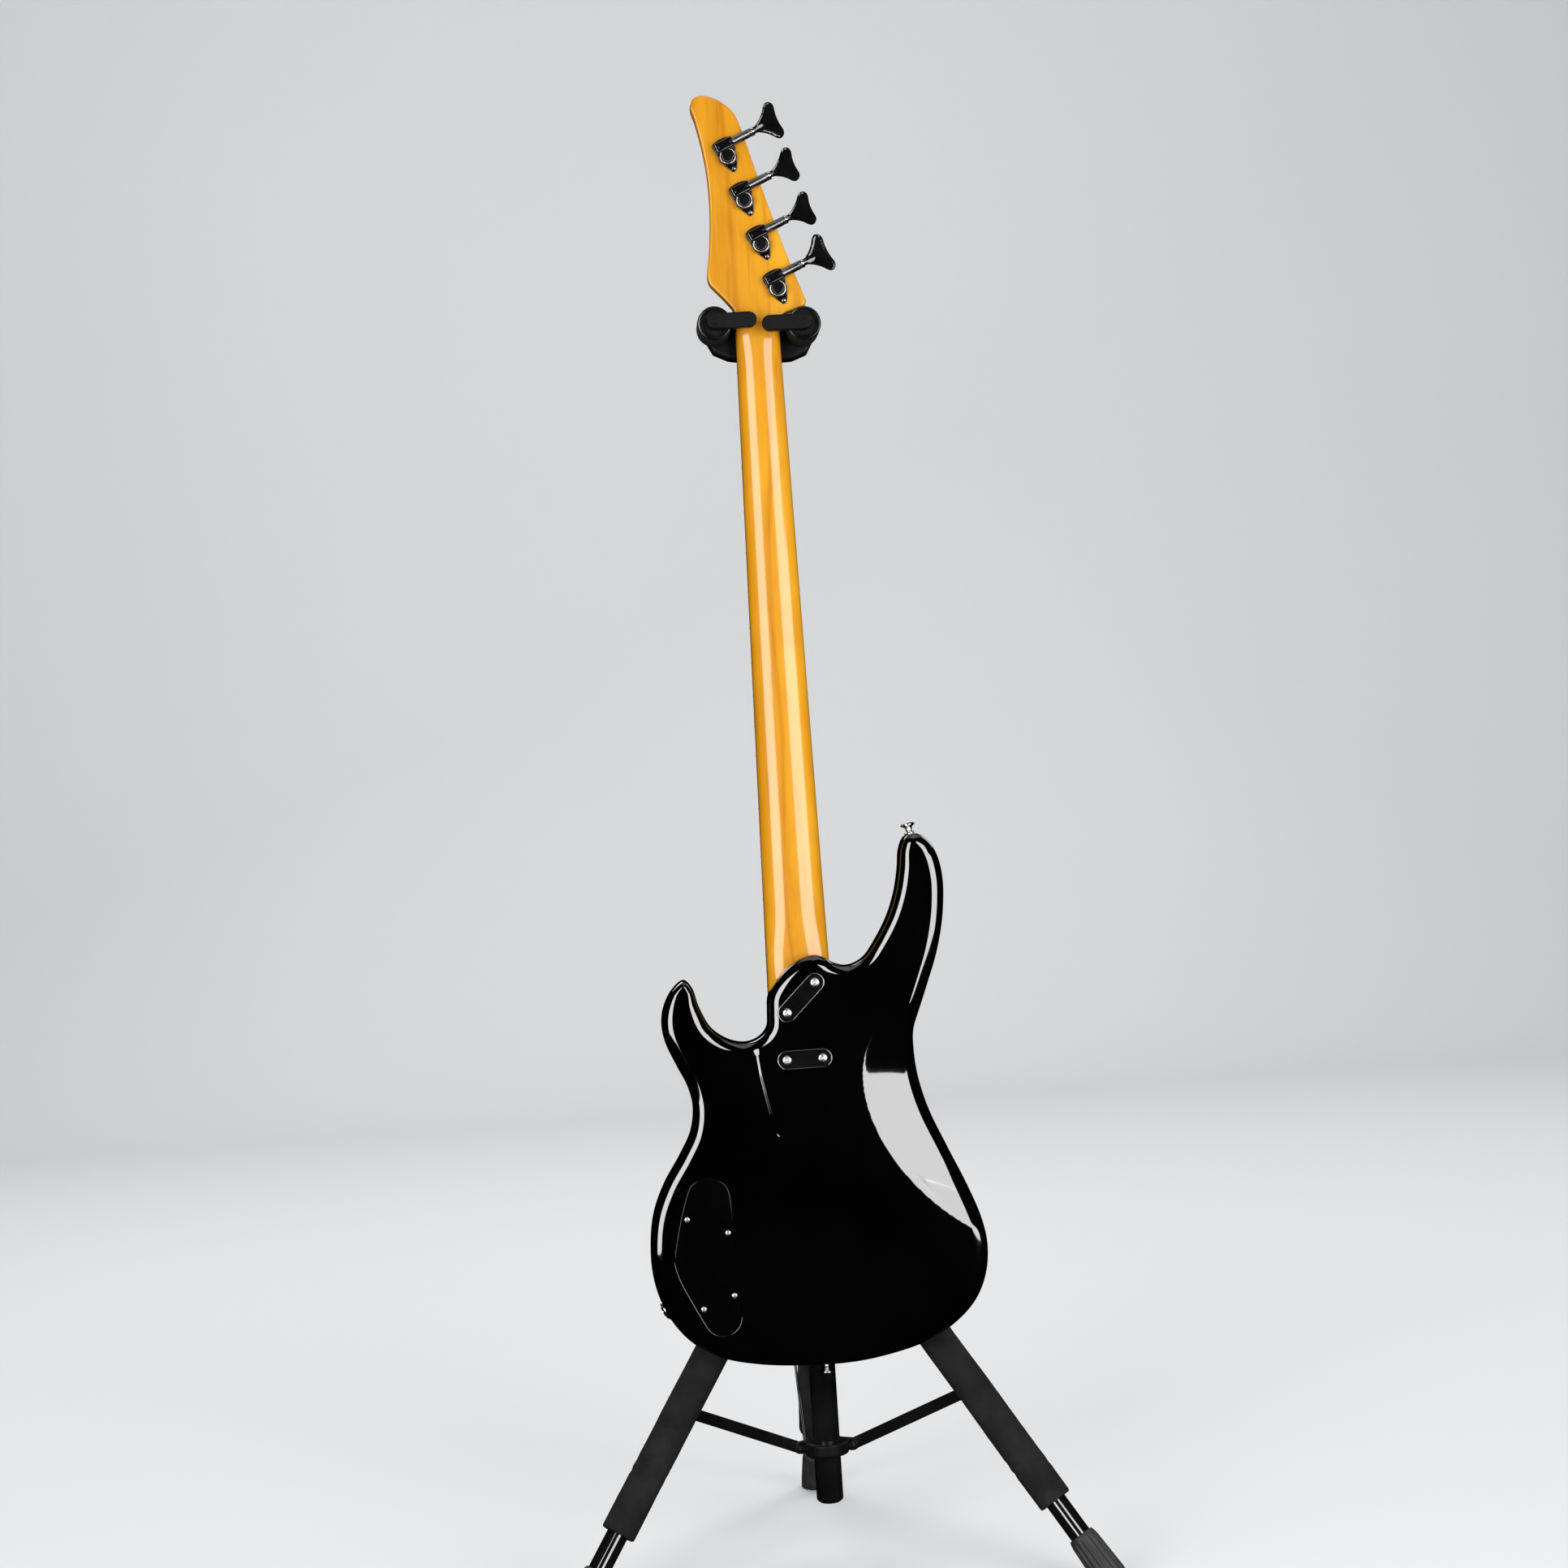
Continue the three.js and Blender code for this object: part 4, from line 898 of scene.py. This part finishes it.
def make_strings():
    for i, (px, pz) in enumerate(TUNERS):
        r = STRING_R[i]
        nut_x, bridge_x = STRING_X[i] * 15, STRING_X[i] * 28.5
        path = [(bridge_x, y, z) for y, z in (
            (9, -903), (9.4, -893), (13.6 + r, SADDLE_Z - 4), (14.9 + r, SADDLE_Z - 0.5),
            (14.9 + r, SADDLE_Z + 1))] + [(nut_x, 12.3 + r, 2.4)]
        radius = 5.5 + r
        start = math.atan2(2.4 - pz, nut_x - px) - math.acos(radius / math.hypot(nut_x - px, pz))
        for k in range(66):
            a = start + 2 * math.pi * WINDS * k / 65
            drop = (2 * r + 0.35) * WINDS * k / 65
            path.append((px + radius * math.cos(a), 10.6 - drop, pz + radius * math.sin(a)))
        piece(f"string_steel_{i + 1}", sweep(path, r, 10), "wound_steel", "guitar",
              replaces=f"string_{i + 1}", sharp=60)


# ---------------------------------------------------------------- tuners
TUNER_ANGLE = math.radians(24.3)
SHAFT_U, SHAFT_DEPTH, SHAFT_W = 32, -19.4, 10.1
PLATE = [(-7.7, 16.1), (-7.7, 1), (-7.4, -3), (-3.6, -11), (-1.4, -14.6), (1, -14.6),
         (3.4, -12.6), (6.4, -6.6), (8.6, -2.4), (9, 1.4), (11, 5.3), (11, 16.1)]
PADDLE = [(0, -3), (2.5, -3.2), (6, -5), (10, -8), (14, -12), (17, -16), (20, -18.3), (23, -18),
          (25.5, -15.5), (26.2, -12), (25.2, -6), (24.8, 0), (25.2, 6), (26.2, 12), (25.5, 15.5),
          (23, 18), (20, 18.3), (17, 16), (14, 12), (10, 8), (6, 5), (2.5, 3.2), (0, 3)]


def paddle_shape():
    """Clover key: a thin plate, thicker along its middle and with a rolled rim."""
    ring = counterclockwise(resample(catmull(PADDLE, 8), 0.9))
    flat, tris = triangulate([ring], 1.1, 0.5)
    dense = resample(ring, 0.15)
    edge = np.array([np.min(np.hypot(*(dense - p).T)) for p in flat])
    ridge = 1.2 * np.exp(-(flat[:, 1] / 1.9) ** 2) * (1 - smoothstep((flat[:, 0] - 4) / 9))
    rim = 0.5 * np.exp(-((edge - 1.3) / 0.7) ** 2)
    body = 1.15 * np.sqrt(np.clip(1 - (1 - np.clip(edge / 1.3, 0, 1)) ** 2, 0, 1))
    height = body + ridge * np.clip(edge / 1.2, 0, 1) + rim * np.clip(edge / 0.8, 0, 1)
    n = len(flat)
    points = [(u, h, w) for (u, w), h in zip(flat, height)]
    points += [(u, -h, w) for (u, w), h in zip(flat, height)]
    faces = [tuple(t[::-1]) for t in tris.tolist()] + [tuple(n + i for i in t) for t in tris.tolist()]
    return points, faces


def make_tuner(i):
    px, pz = TUNERS[i]
    frame_i = GUITAR @ shift(px, 0, pz) @ Matrix.Rotation(-TUNER_ANGLE, 4, "Y")
    tag = f"_{i + 1}"
    back_y = -14.3
    at_worm = shift(0, SHAFT_DEPTH, SHAFT_W)

    def face_back(shape, u, y, w):
        return moved(shape, shift(u, y, w) @ BACKWARD)

    def on_worm(profile, segments):
        return moved(turned(profile, segments), at_worm @ ALONG_X)

    base = slab(resample(catmull(PLATE, 6), 0.8), back_y - 1.5, back_y, 0.5, 3)
    housing = slab(rectangle(-7.7, 11, 5.2, 15.4, 1.6), -23.6, back_y - 1, 2.0, 5, r_front=0.3)
    piece("tuner_housing" + tag, merge(base, housing), "black_chrome", "guitar", frame_i,
          f"tuner_base_{i + 1}", sharp=45)

    def notch(a, r, z):
        return -0.5 * max(0, 1 - abs((a - 2.6) / 0.09)) if r > 6.6 else 0
    ring = turned([(7.3, -20.9), (7.6, -21.3), (7.35, -21.75), (6.9, -21.95), (6.5, -21.75),
                   (6.3, -21.1)], 64, notch)
    ring = [(x, z, -y) for x, y, z in ring[0]], ring[1]
    rear = turned([(0, 0), (8.4, 0), (8.4, 5.2), (8.1, 5.9), (7.6, 6.2), (0, 6.2)], 64)
    piece("tuner_drum" + tag, face_back(rear, 0, back_y - 1.0, 0), "black_chrome", "guitar", frame_i,
          sharp=45)
    piece("tuner_ring" + tag, ring, "nickel", "guitar", frame_i, sharp=60)
    centre = turned([(0, 0.3), (4.9, 0.3), (5.4, 0.1), (5.5, -0.2)], 72,
                    lambda a, r, z: 0.35 * math.cos(18 * a) if r > 4 else 0)
    piece("tuner_gear" + tag, face_back(centre, 0, -21.4, 0), "black_hardware", "guitar", frame_i,
          sharp=45)
    piece("tuner_screw" + tag, face_back(screw(2.3, 1.3), 0.2, back_y - 1.5, -11.6), "smoky_chrome",
          "guitar", frame_i)
    small = [face_back(screw(1.7, 0.9), u, -23.5, w) for u, w in ((-4.6, 10.3), (8, 10.3))]
    piece("tuner_housing_screws" + tag, merge(*small), "black_hardware", "guitar", frame_i)
    sleeve = on_worm(rounded([(0, 10), (4, 10), (4, 27.4), (3.6, 27.8), (4, 28.2), (4, 29.6),
                              (0, 29.6)], 0.4), 40)
    piece("tuner_sleeve" + tag, sleeve, "dull_steel", "guitar", frame_i)
    collar = on_worm(rounded([(0, 29.9), (4.1, 29.9), (4.1, 32.3), (0, 32.3)], 0.5), 40)
    body = f"tuner_{i + 1}"
    piece("tuner_collar" + tag, collar, "chrome", body, frame_i)
    key = moved(paddle_shape(), shift(SHAFT_U + 0.3, SHAFT_DEPTH, SHAFT_W))
    stem = on_worm(rounded([(0, 31.5), (3, 31.5), (2.4, 35), (1.6, 41), (0, 44)], 0.6), 32)
    turn = (at_worm @ Matrix.Rotation(math.radians(KEY_TURNS[i]), 4, "X")
            @ shift(0, -SHAFT_DEPTH, -SHAFT_W))
    piece("tuner_key" + tag, moved(merge(key, stem), turn), "black_chrome", body, frame_i,
          f"tuner_button_{i + 1}", sharp=60)
    post = turned([(0, -13.6), (5.3, -13.6), (5.3, 2.2), (5.1, 3), (4.6, 8), (4.7, 12), (5.1, 16.6),
                   (5.0, 18.2), (4.2, 19), (2.2, 19), (1.9, 17.2), (0, 16.9)], 40)
    piece("tuner_string_post" + tag, moved(post, ALONG_Y), "chrome", f"post_{i + 1}", frame_i,
          f"tuner_post_{i + 1}", sharp=40)
    ferrule = turned(rounded([(5.7, -4), (5.7, 2.2), (6.9, 2.2), (7.6, 1.4), (7.6, 0.9),
                              (5.9, 0.9)], 0.3), 48)
    piece("tuner_ferrule" + tag, moved(ferrule, ALONG_Y), "chrome", "guitar", frame_i)


# ---------------------------------------------------------------- bridge, pickups, controls
KNOBS = [(-97, -816), (-101, -857), (-91, -901)]
COILS = 13  # turns of each saddle's spring


def make_bridge():
    base = slab(rectangle(-39, 39, -906, -846, 2.5), 0.3, 2.8, 0.6, 3)
    wall = slab(rectangle(-39, 39, 2, 15, 1.6), -906, -903.4, 0.5, 3)
    wall = [(x, z, y) for x, y, z in wall[0]], wall[1]
    rails = [slab(rectangle(x - 0.9, x + 0.9, -903, -848, 0.6), 2, 5.2, 0.4, 2) for x in (-38, 38)]
    piece("bridge_plate", merge(base, wall, *rails), "black_hardware", "guitar", replaces="bridge",
          sharp=40)
    saddles, screws, springs = [], [], []
    upside_down = Matrix.Rotation(math.pi, 4, "X")
    for k in STRING_X:
        x = k * 28.5
        barrel = turned([(0, -7), (4.6, -7), (5.2, -6.4), (5.2, -1.6), (4.9, -0.8), (4.9, 0.8),
                         (5.2, 1.6), (5.2, 6.4), (4.6, 7), (0, 7)], 36)
        saddles.append(moved(barrel, shift(x, 9.6, SADDLE_Z) @ ALONG_X))
        block = rectangle(x - 6.6, x + 6.6, SADDLE_Z - 3.4, SADDLE_Z + 3.4, 1)
        saddles.append(slab(block, 3.6, 9, 0.5, 2))
        for dx in (-4.6, 4.6):
            post = moved(turned(rounded([(0, 0), (1.4, 0), (1.4, 12), (0, 12)], 0.3), 16),
                         shift(x + dx, 2.7, SADDLE_Z) @ ALONG_Y)
            screws.append(post)
        screws.append(sweep([(x, 7.2, -907.6), (x, 7.2, SADDLE_Z - 3)], 1.3, 14))
        screws.append(moved(screw(2.6, 1.6), shift(x, 7.2, -906.4) @ upside_down))
        coil = [(x + 2.1 * math.cos(a), 7.2 + 2.1 * math.sin(a), -903 + 34 * a / (2 * math.pi * COILS))
                for a in np.linspace(0, 2 * math.pi * COILS, COILS * 14)]
        springs.append(sweep(coil, 0.35, 6))
    mounts = [moved(screw(3.4, 1.8), shift(x, 2.8, -896) @ ALONG_Y)
              for x in (-31, -15.5, 0, 15.5, 31)]
    piece("bridge_saddles", merge(*saddles), "black_hardware", "guitar")
    piece("bridge_screws", merge(*screws, *mounts), "black_hardware", "guitar")
    piece("bridge_springs", merge(*springs), "nickel", "guitar", sharp=60)


def make_pickups():
    for name, z in (("neck_pickup", -730), ("bridge_pickup", -800)):
        shell = slab(pill((-37, z), (37, z), 9.2, 24), -20, 7, 1.6, 5)
        heads = [moved(screw(1.9, 0.7), shift(x, 6.8, z) @ ALONG_Y) for x in (-41.3, 41.3)]
        piece(name + "_cover", shell, "pickup_cover", "guitar", replaces=name)
        piece(name + "_screws", merge(*heads), "black_hardware", "guitar")


def make_controls():
    profile = [(0, -8.6), (3.2, -8.6), (3.2, 1), (9.2, 1), (9.5, 1.4), (9.5, 2.6), (9.1, 3.2),
               (8.4, 4), (8.2, 5), (8, 9), (7.9, 12.6), (7.7, 13.8), (7.1, 14.7), (6.2, 15), (0, 15)]
    can = turned(rounded([(0, -19), (8.5, -19), (8.5, -12.5), (8.1, -12.5), (8.1, -10), (4.6, -10),
                          (4.6, -9), (0, -9)], 0.5), 40)

    def flute(a, r, y):
        return 0.28 * math.cos(30 * a) if 3.4 < y < 13.2 and r > 6 else 0
    for i, (x, z) in enumerate(KNOBS):
        knob = moved(turned(profile, 180, flute), shift(x, 0, z) @ ALONG_Y)
        piece(f"knob_cap_{i + 1}", knob, "black_plastic", f"knob_{i + 1}", replaces=f"knob_{i + 1}",
              sharp=50)
        mark = slab(rectangle(x - 0.5, x + 0.5, z + 1.6, z + 6.4, 0.4), 14.9, 15.15, 0.05, 1)
        piece(f"knob_mark_{i + 1}", mark, "pearl", f"knob_{i + 1}")
        piece(f"pot_can_{i + 1}", moved(can, shift(x, 0, z) @ ALONG_Y), "zinc", "guitar",
              replaces=f"pot_{i + 1}")
    outline = resample(chaikin(COVER_OUTLINE, 4), 1.5)
    cover = slab(outline, -39.8, -37.1, 0.5, 3)
    piece("control_cover_plate", cover, "cover_plastic", "guitar", replaces="control_cover",
          sharp=60)
    heads = [moved(screw(2.7, 1.2), shift(x, -39.8, z) @ BACKWARD @ Matrix.Rotation(turn, 4, "Z"))
             for x, z, turn in ((-117.7, -826.1, 0.4), (-81.1, -840.6, 1.0), (-78.8, -898.1, 0.1),
                                (-107.5, -908.6, 0.7))]
    piece("control_cover_screws", merge(*heads), "nickel", "guitar")


JACK_ANGLE = math.radians(205)
AT_JACK = shift(-141.5, -20, -910) @ Matrix.Rotation(math.pi / 2 - JACK_ANGLE, 4, "Y")


def make_jack():
    barrel = turned([(0, -26), (7.4, -26), (7.4, 0.2), (4.6, 0.2)], 40)
    washer = turned(rounded([(4.6, 0.2), (9.6, 0.2), (9.6, 1.1), (4.6, 1.1)], 0.3), 48)

    def six_flats(a, r, z):
        flat = math.cos(math.pi / 6) / math.cos(a % (math.pi / 3) - math.pi / 6)
        return 0 if r < 6 else r * (flat - 1)
    nut = turned([(4.6, 1.0), (7.9, 1.0), (8.1, 1.4), (7.9, 2.6), (7.2, 3), (4.6, 3)], 60, six_flats)
    throat = turned([(4.6, 3), (4.4, 3.8), (3.4, 3.8), (3.2, 3.2), (3.2, -12), (0, -12)], 36)
    piece("output_jack_barrel", merge(barrel, washer, nut, throat), "chrome", "guitar",
          GUITAR @ AT_JACK, "output_jack", sharp=30)


def make_neck_plates():
    for name, a, b, turns in (("neck_plate_upper", (-14.6, -644), (12.4, -617.7), (0.3, 1.1)),
                              ("neck_plate_lower", (-17.5, -687), (15.3, -687), (0.9, 0.2))):
        plate = slab(pill(a, b, 8.9, 28), -43.1, -40.3, 0.7, 4)
        rim_path = pill(a, b, 8.2, 28)
        rim = [(x, -43.0, z) for x, z in rim_path] + [(rim_path[0][0], -43.0, rim_path[0][1])]
        piece(name + "_steel", plate, "black_chrome", "guitar", replaces=name,
              sharp=50)
        piece(name + "_rim", sweep(rim, 0.5, 10), "smoky_chrome", "guitar",
              sharp=60)
        heads = [moved(screw(4.4, 1.7), shift(x, -43.1, z) @ BACKWARD @ Matrix.Rotation(t, 4, "Z"))
                 for (x, z), t in zip((a, b), turns)]
        piece(name + "_screws", merge(*heads), "nickel", "guitar")


def make_strap_buttons():
    profile = [(0, -12), (2, -12), (2, 0.3), (5.3, 0.3), (5.4, 0.6), (5.0, 1.5), (3.7, 2.6), (3.2, 3.6),
               (3.2, 5.6), (3.7, 6.4), (5.6, 7.3), (6.8, 8.2), (7.0, 8.8), (6.6, 9.6), (5.4, 10.0),
               (3.6, 10.1), (3.3, 9.4), (0, 9.4)]
    head = moved(screw(3.1, 1.2), shift(0, 0, 9.4))
    for name, matrix in (("horn", shift(110.3, -20, -487.8) @ Matrix.Rotation(-0.2, 4, "Y")),
                         ("tail", shift(2.1, -20, -967.6) @ Matrix.Rotation(math.pi, 4, "Y"))):
        piece(f"{name}_strap_peg", turned(profile, 48), "chrome", "guitar", GUITAR @ matrix,
              f"{name}_strap_button", sharp=45)
        piece(f"{name}_strap_screw", head, "nickel", "guitar", GUITAR @ matrix)


# ---------------------------------------------------------------- stand
LEG_AZIMUTHS = {"left": 210, "right": -30, "rear": 90}
LEG_ANGLE = math.radians(37)
PIVOT_R, HUB_Z, LEG_R, LEG_END = 31, 341, 10, 396
BRACE_AT, BRACE_SIDE, COLLAR_R, COLLAR_Z = 209, 19, 20, 111


def leg_frame(side):
    """Frame of a leg with its pivot at the origin and the leg running down -Z."""
    return (STAND @ Matrix.Rotation(math.radians(LEG_AZIMUTHS[side]), 4, "Z")
            @ shift(PIVOT_R, 0, HUB_Z) @ Matrix.Rotation(-LEG_ANGLE, 4, "Y"))


def fbm(x, y, z, octaves=4):
    """Layered noise."""
    total, gain = 0.0, 1.0
    for k in range(octaves):
        total += gain * noise.noise(Vector((x, y, z)) * 2 ** k)
        gain *= 0.5
    return total


def bell(t, width):
    return math.exp(-(t / width) ** 2)


# Creases of each sleeve: place along the leg, angle it is centred on, its spread, depth, width.
CREASES = {
    "left": [(273, -1.9, 1.3, 1.5, 2.2), (262, -1.2, 0.7, 0.6, 3), (236, -2.4, 0.8, 1.0, 11),
             (150, 0.5, 0.9, 0.5, 4)],
    "right": [(298, -1.3, 1.4, 1.4, 2.4), (286, -2.0, 0.8, 0.6, 3), (230, -1.0, 0.7, 0.7, 9),
              (95, 2.0, 1.0, 0.5, 4)],
    "rear": [(180, 0.0, 1.2, 0.9, 3), (290, 1.6, 1.0, 0.8, 3)]}
FOAM_SEED = {"left": 3.1, "right": 11.7, "rear": 23.9}
FOAM_TOP, FOAM_END = 30, 334  # along the leg from its pivot
FOAM_R, FOAM_BORE = 16.2, 10.3


def foam_sleeve(side):
    segments, seed = 96, FOAM_SEED[side]
    stations = [FOAM_TOP, 30.2, 31, 32.4] + list(np.arange(34, 331, 2.2)) + [331.6, 333, 333.8, FOAM_END]

    def bore(s):
        return [(FOAM_BORE * math.cos(a), FOAM_BORE * math.sin(a), -s) for a in around(segments)]
    rings = [bore(FOAM_TOP)]
    for s in stations:
        end = min(s - FOAM_TOP, FOAM_END - s)
        shoulder = 1.8 * (1 - math.sqrt(max(0, 1 - (1 - min(1, end / 2.2)) ** 2)))
        ring = []
        for a in around(segments):
            cx, cy = math.cos(a), math.sin(a)
            r = FOAM_R - shoulder + 0.35 * fbm(cx * 0.9 + seed, cy * 0.9, s * 0.016, 3)
            r += 0.10 * fbm(cx * 5 + seed, cy * 5, s * 0.16, 3)
            for at, angle, spread, depth, width in CREASES[side]:
                turn = (a - angle + math.pi) % (2 * math.pi) - math.pi
                line = s - at - 5 * math.sin(turn * 1.3) - 1.2 * fbm(turn * 2, seed, 0.3, 2)
                r -= depth * bell(line, width) * bell(turn, spread)
                banks = bell(line - 2 * width, width) + bell(line + 2 * width, width)
                r += 0.35 * depth * banks * bell(turn, spread)
            r = min(r, 16.9)
            ring.append((r * cx, r * cy, -s))
        rings.append(ring)
    rings.append(bore(FOAM_END))
    points = [p for ring in rings for p in ring]
    faces = []
    for k in range(len(rings) - 1):
        faces += ring_faces(segments, k * segments, (k + 1) * segments)
    faces += ring_faces(segments, (len(rings) - 1) * segments, 0)
    return points, faces


def outer_side(side):
    """The side of a leg its brace is on."""
    outer = -1 if side == "left" else 1
    return outer, Matrix.Rotation(math.radians(-90 * outer), 4, "X")


def make_leg(side):
    place, body = leg_frame(side), f"{side}_leg"
    tube = turned(rounded([(0, 10.0), (7, 9.6), (9.7, 6), (LEG_R, 1), (LEG_R, -LEG_END),
                           (8.4, -LEG_END), (8.4, -18), (0, -17)], 1.2, 4), 64)
    pin_end = BRACE_SIDE - 0.4
    pin = moved(turned(rounded([(0, 5), (2.5, 5), (2.5, pin_end), (0, pin_end)], 0.3), 24),
                shift(0, 0, -BRACE_AT) @ outer_side(side)[1])
    piece(f"{side}_leg_pipe", merge(tube, pin), "tube_gloss", body, place, f"{side}_leg_tube",
          sharp=50)
    head = turned([(2.7, 9.6), (2.7, 14.4), (4.6, 14.5), (4.5, 15.6), (3.4, 16.7), (1.6, 17.3),
                   (0, 17.4)], 36)
    heads = [moved(head, Matrix.Rotation(math.radians(-90 * k), 4, "X")) for k in (-1, 1)]
    piece(f"{side}_leg_pivot", merge(*heads), "zinc", body, place)
    foam = piece(f"{side}_leg_sleeve", foam_sleeve(side), "foam", body, place,
                 f"{side}_leg_foam", sharp=60)

    def rib(a, r, z):
        return 0.55 * math.cos(16 * a) * smoothstep((-z - 374) / 5) if r > 11 else 0
    profile = rounded([(10.2, -371), (11.6, -371), (12.2, -372), (12.9, -374), (13.7, -392),
                       (14.6, -412), (14.8, -452), (0, -452)], 0.8, 3)
    dense = []
    for (r0, z0), (r1, z1) in zip(profile, profile[1:]):
        steps = max(1, int(math.hypot(r1 - r0, z1 - z0) / 2.5))
        dense += [(r0 + (r1 - r0) * k / steps, z0 + (z1 - z0) * k / steps) for k in range(steps)]
    dense.append(profile[-1])
    piece(f"{side}_boot", turned(dense, 192, rib), "foot_rubber", body, place, f"{side}_foot",
          sharp=50, on_floor=True)


def make_brace(side):
    outer, turn = outer_side(side)
    body = f"{side}_brace"
    leg_x = PIVOT_R + BRACE_AT * math.sin(LEG_ANGLE)
    leg_z = HUB_Z - BRACE_AT * math.cos(LEG_ANGLE)
    y0 = min(outer * BRACE_SIDE, outer * (BRACE_SIDE + 2))
    bar = slab(pill((COLLAR_R, COLLAR_Z), (leg_x, leg_z), 5.5, 14), y0, y0 + 2, 0.45, 3)
    place = STAND @ Matrix.Rotation(math.radians(LEG_AZIMUTHS[side]), 4, "Z")
    piece(body + "_bar", bar, "tube_gloss", body, place, body, sharp=40)
    dome = turned([(3.9, 0), (3.9, 0.5), (3.4, 1.4), (2.2, 2.1), (0, 2.4)], 32)
    rivets = [moved(dome, shift(x, outer * (BRACE_SIDE + 1.9), z) @ turn)
              for x, z in ((COLLAR_R, COLLAR_Z), (leg_x, leg_z))]
    pin = moved(turned([(0, 15), (2.5, 15), (2.5, 20.5), (0, 20.5)], 24),
                shift(COLLAR_R, 0, COLLAR_Z) @ turn)
    piece(body + "_rivets", merge(*rivets, pin), "nickel", body, place)


def make_column():
    lower = turned(rounded([(0, 60), (11.2, 60), (12.7, 61.6), (12.7, 600), (10.4, 600), (10.4, 66),
                            (0, 66)], 0.8, 4), 96)
    piece("lower_tube_steel", lower, "tube_gloss", "column", STAND, "lower_tube",
          sharp=50)
    plug = turned(rounded([(0, 58.8), (9.6, 58.8), (10.6, 60.2), (0, 60.2)], 0.5), 48)
    piece("lower_tube_plug", plug, "black_plastic", "column", STAND)
    upper = turned(rounded([(8.6, 480), (10, 480), (10, 1128), (8.6, 1128)], 0.5), 96)
    piece("upper_tube_steel", upper, "tube_gloss", "mast", STAND, "upper_tube", sharp=50)
    for name, node, body, *detail in (
            ("leg_hub_shell", "leg_hub", "hub"),
            ("brace_collar_shell", "brace_collar", "column", 0.7, 5),
            ("clutch_shell", "clutch_housing", "column"),
            ("clutch_lever_grip", "clutch_lever", "lever", 0.7, 5),
            ("yoke_base_shell", "yoke_base", "mast"),
            ("yoke_saddle_shell", "yoke_carriage", "yoke", 0.7, 5)):
        moulded(name, node, "black_plastic", body, "black_plastic", *detail)


ARM_FRONT, ARM_BACK = -78.5, -36
GATE_FRONT, GATE_BACK = -88.3, -79.1
ARMS = {"left": (-42.7, 1173.5, 1), "right": (40, 1169.1, -1)}


def make_arm(side):
    x, z, towards = ARMS[side]
    front = ARM_FRONT + 3.8
    length = ARM_BACK - 0.3 - front
    seed = 5.0 if side == "left" else 17.0
    profile = [(8.3, 0), (13.4, 0), (15.1, 0.5), (15.8, 1.8)]
    profile += [(15.9, t) for t in np.arange(3, length - 2.4, 0.9)]
    profile += [(15.7, length - 1.6), (15.0, length - 0.5), (13.4, length), (8.3, length), (8.3, 0)]

    pressed = 0.0 if side == "left" else math.pi / 2  # half the angle of the side the neck touches

    def soft(a, r, t):
        if r < 12:
            return 0
        grip = 0.5 * bell(math.sin(a / 2 - pressed), 0.25) if 6 < t < 30 else 0
        return 0.16 * fbm(math.cos(a) + seed, math.sin(a), t * 0.06, 4) - 0.25 * grip
    pad = moved(turned(profile, 96, soft), shift(x, front, z) @ ALONG_Y)
    foam = piece(f"{side}_pad_sleeve", pad, "foam", "yoke", STAND, f"{side}_arm_pad", sharp=60)
    cap = turned([(10.4, 0), (15.6, 0), (15.75, 0.5), (15.4, 1.3), (14.6, 1.75), (13.6, 1.6),
                  (13.2, 1.0), (10.4, 0.9)], 96)
    piece(f"{side}_arm_cap", moved(cap, shift(x, ARM_FRONT + 0.4, z) @ BACKWARD), "black_hardware",
          "yoke", STAND, sharp=50)
    gz = z + 0.8
    ends = sorted((x, x + towards * (44 - 7.3 - 5)))
    blade = slab(pill((ends[0], gz), (ends[1], gz), 7.3, 26), GATE_FRONT, GATE_BACK, 1.5, 6)
    on_gate = shift(x, GATE_FRONT, gz) @ BACKWARD
    rings = [moved(turned([(r + 0.55, -0.3), (r + 0.4, h * 0.7), (r, h), (r - 0.4, h * 0.7),
                           (r - 0.55, -0.3)], 64), on_gate) for r, h in ((5.6, 0.35), (3.4, 0.5))]
    boss = moved(turned([(2.4, -0.3), (2.3, 0.5), (1.6, 0.9), (0, 1.0)], 40), on_gate)
    piece(f"{side}_gate_bar", merge(blade, *rings, boss), "black_plastic", f"{side}_gate", STAND,
          f"{side}_gate", sharp=50)


make_materials()
for part in (make_body, make_neck, make_fingerboard, make_strings, make_bridge, make_pickups,
             make_controls, make_jack, make_neck_plates, make_strap_buttons, make_column):
    part()
for number in range(len(TUNERS)):
    make_tuner(number)
for leg in LEG_AZIMUTHS:
    make_leg(leg)
    make_brace(leg)
for arm in ARMS:
    make_arm(arm)
make_floor()
make_light()
make_camera()
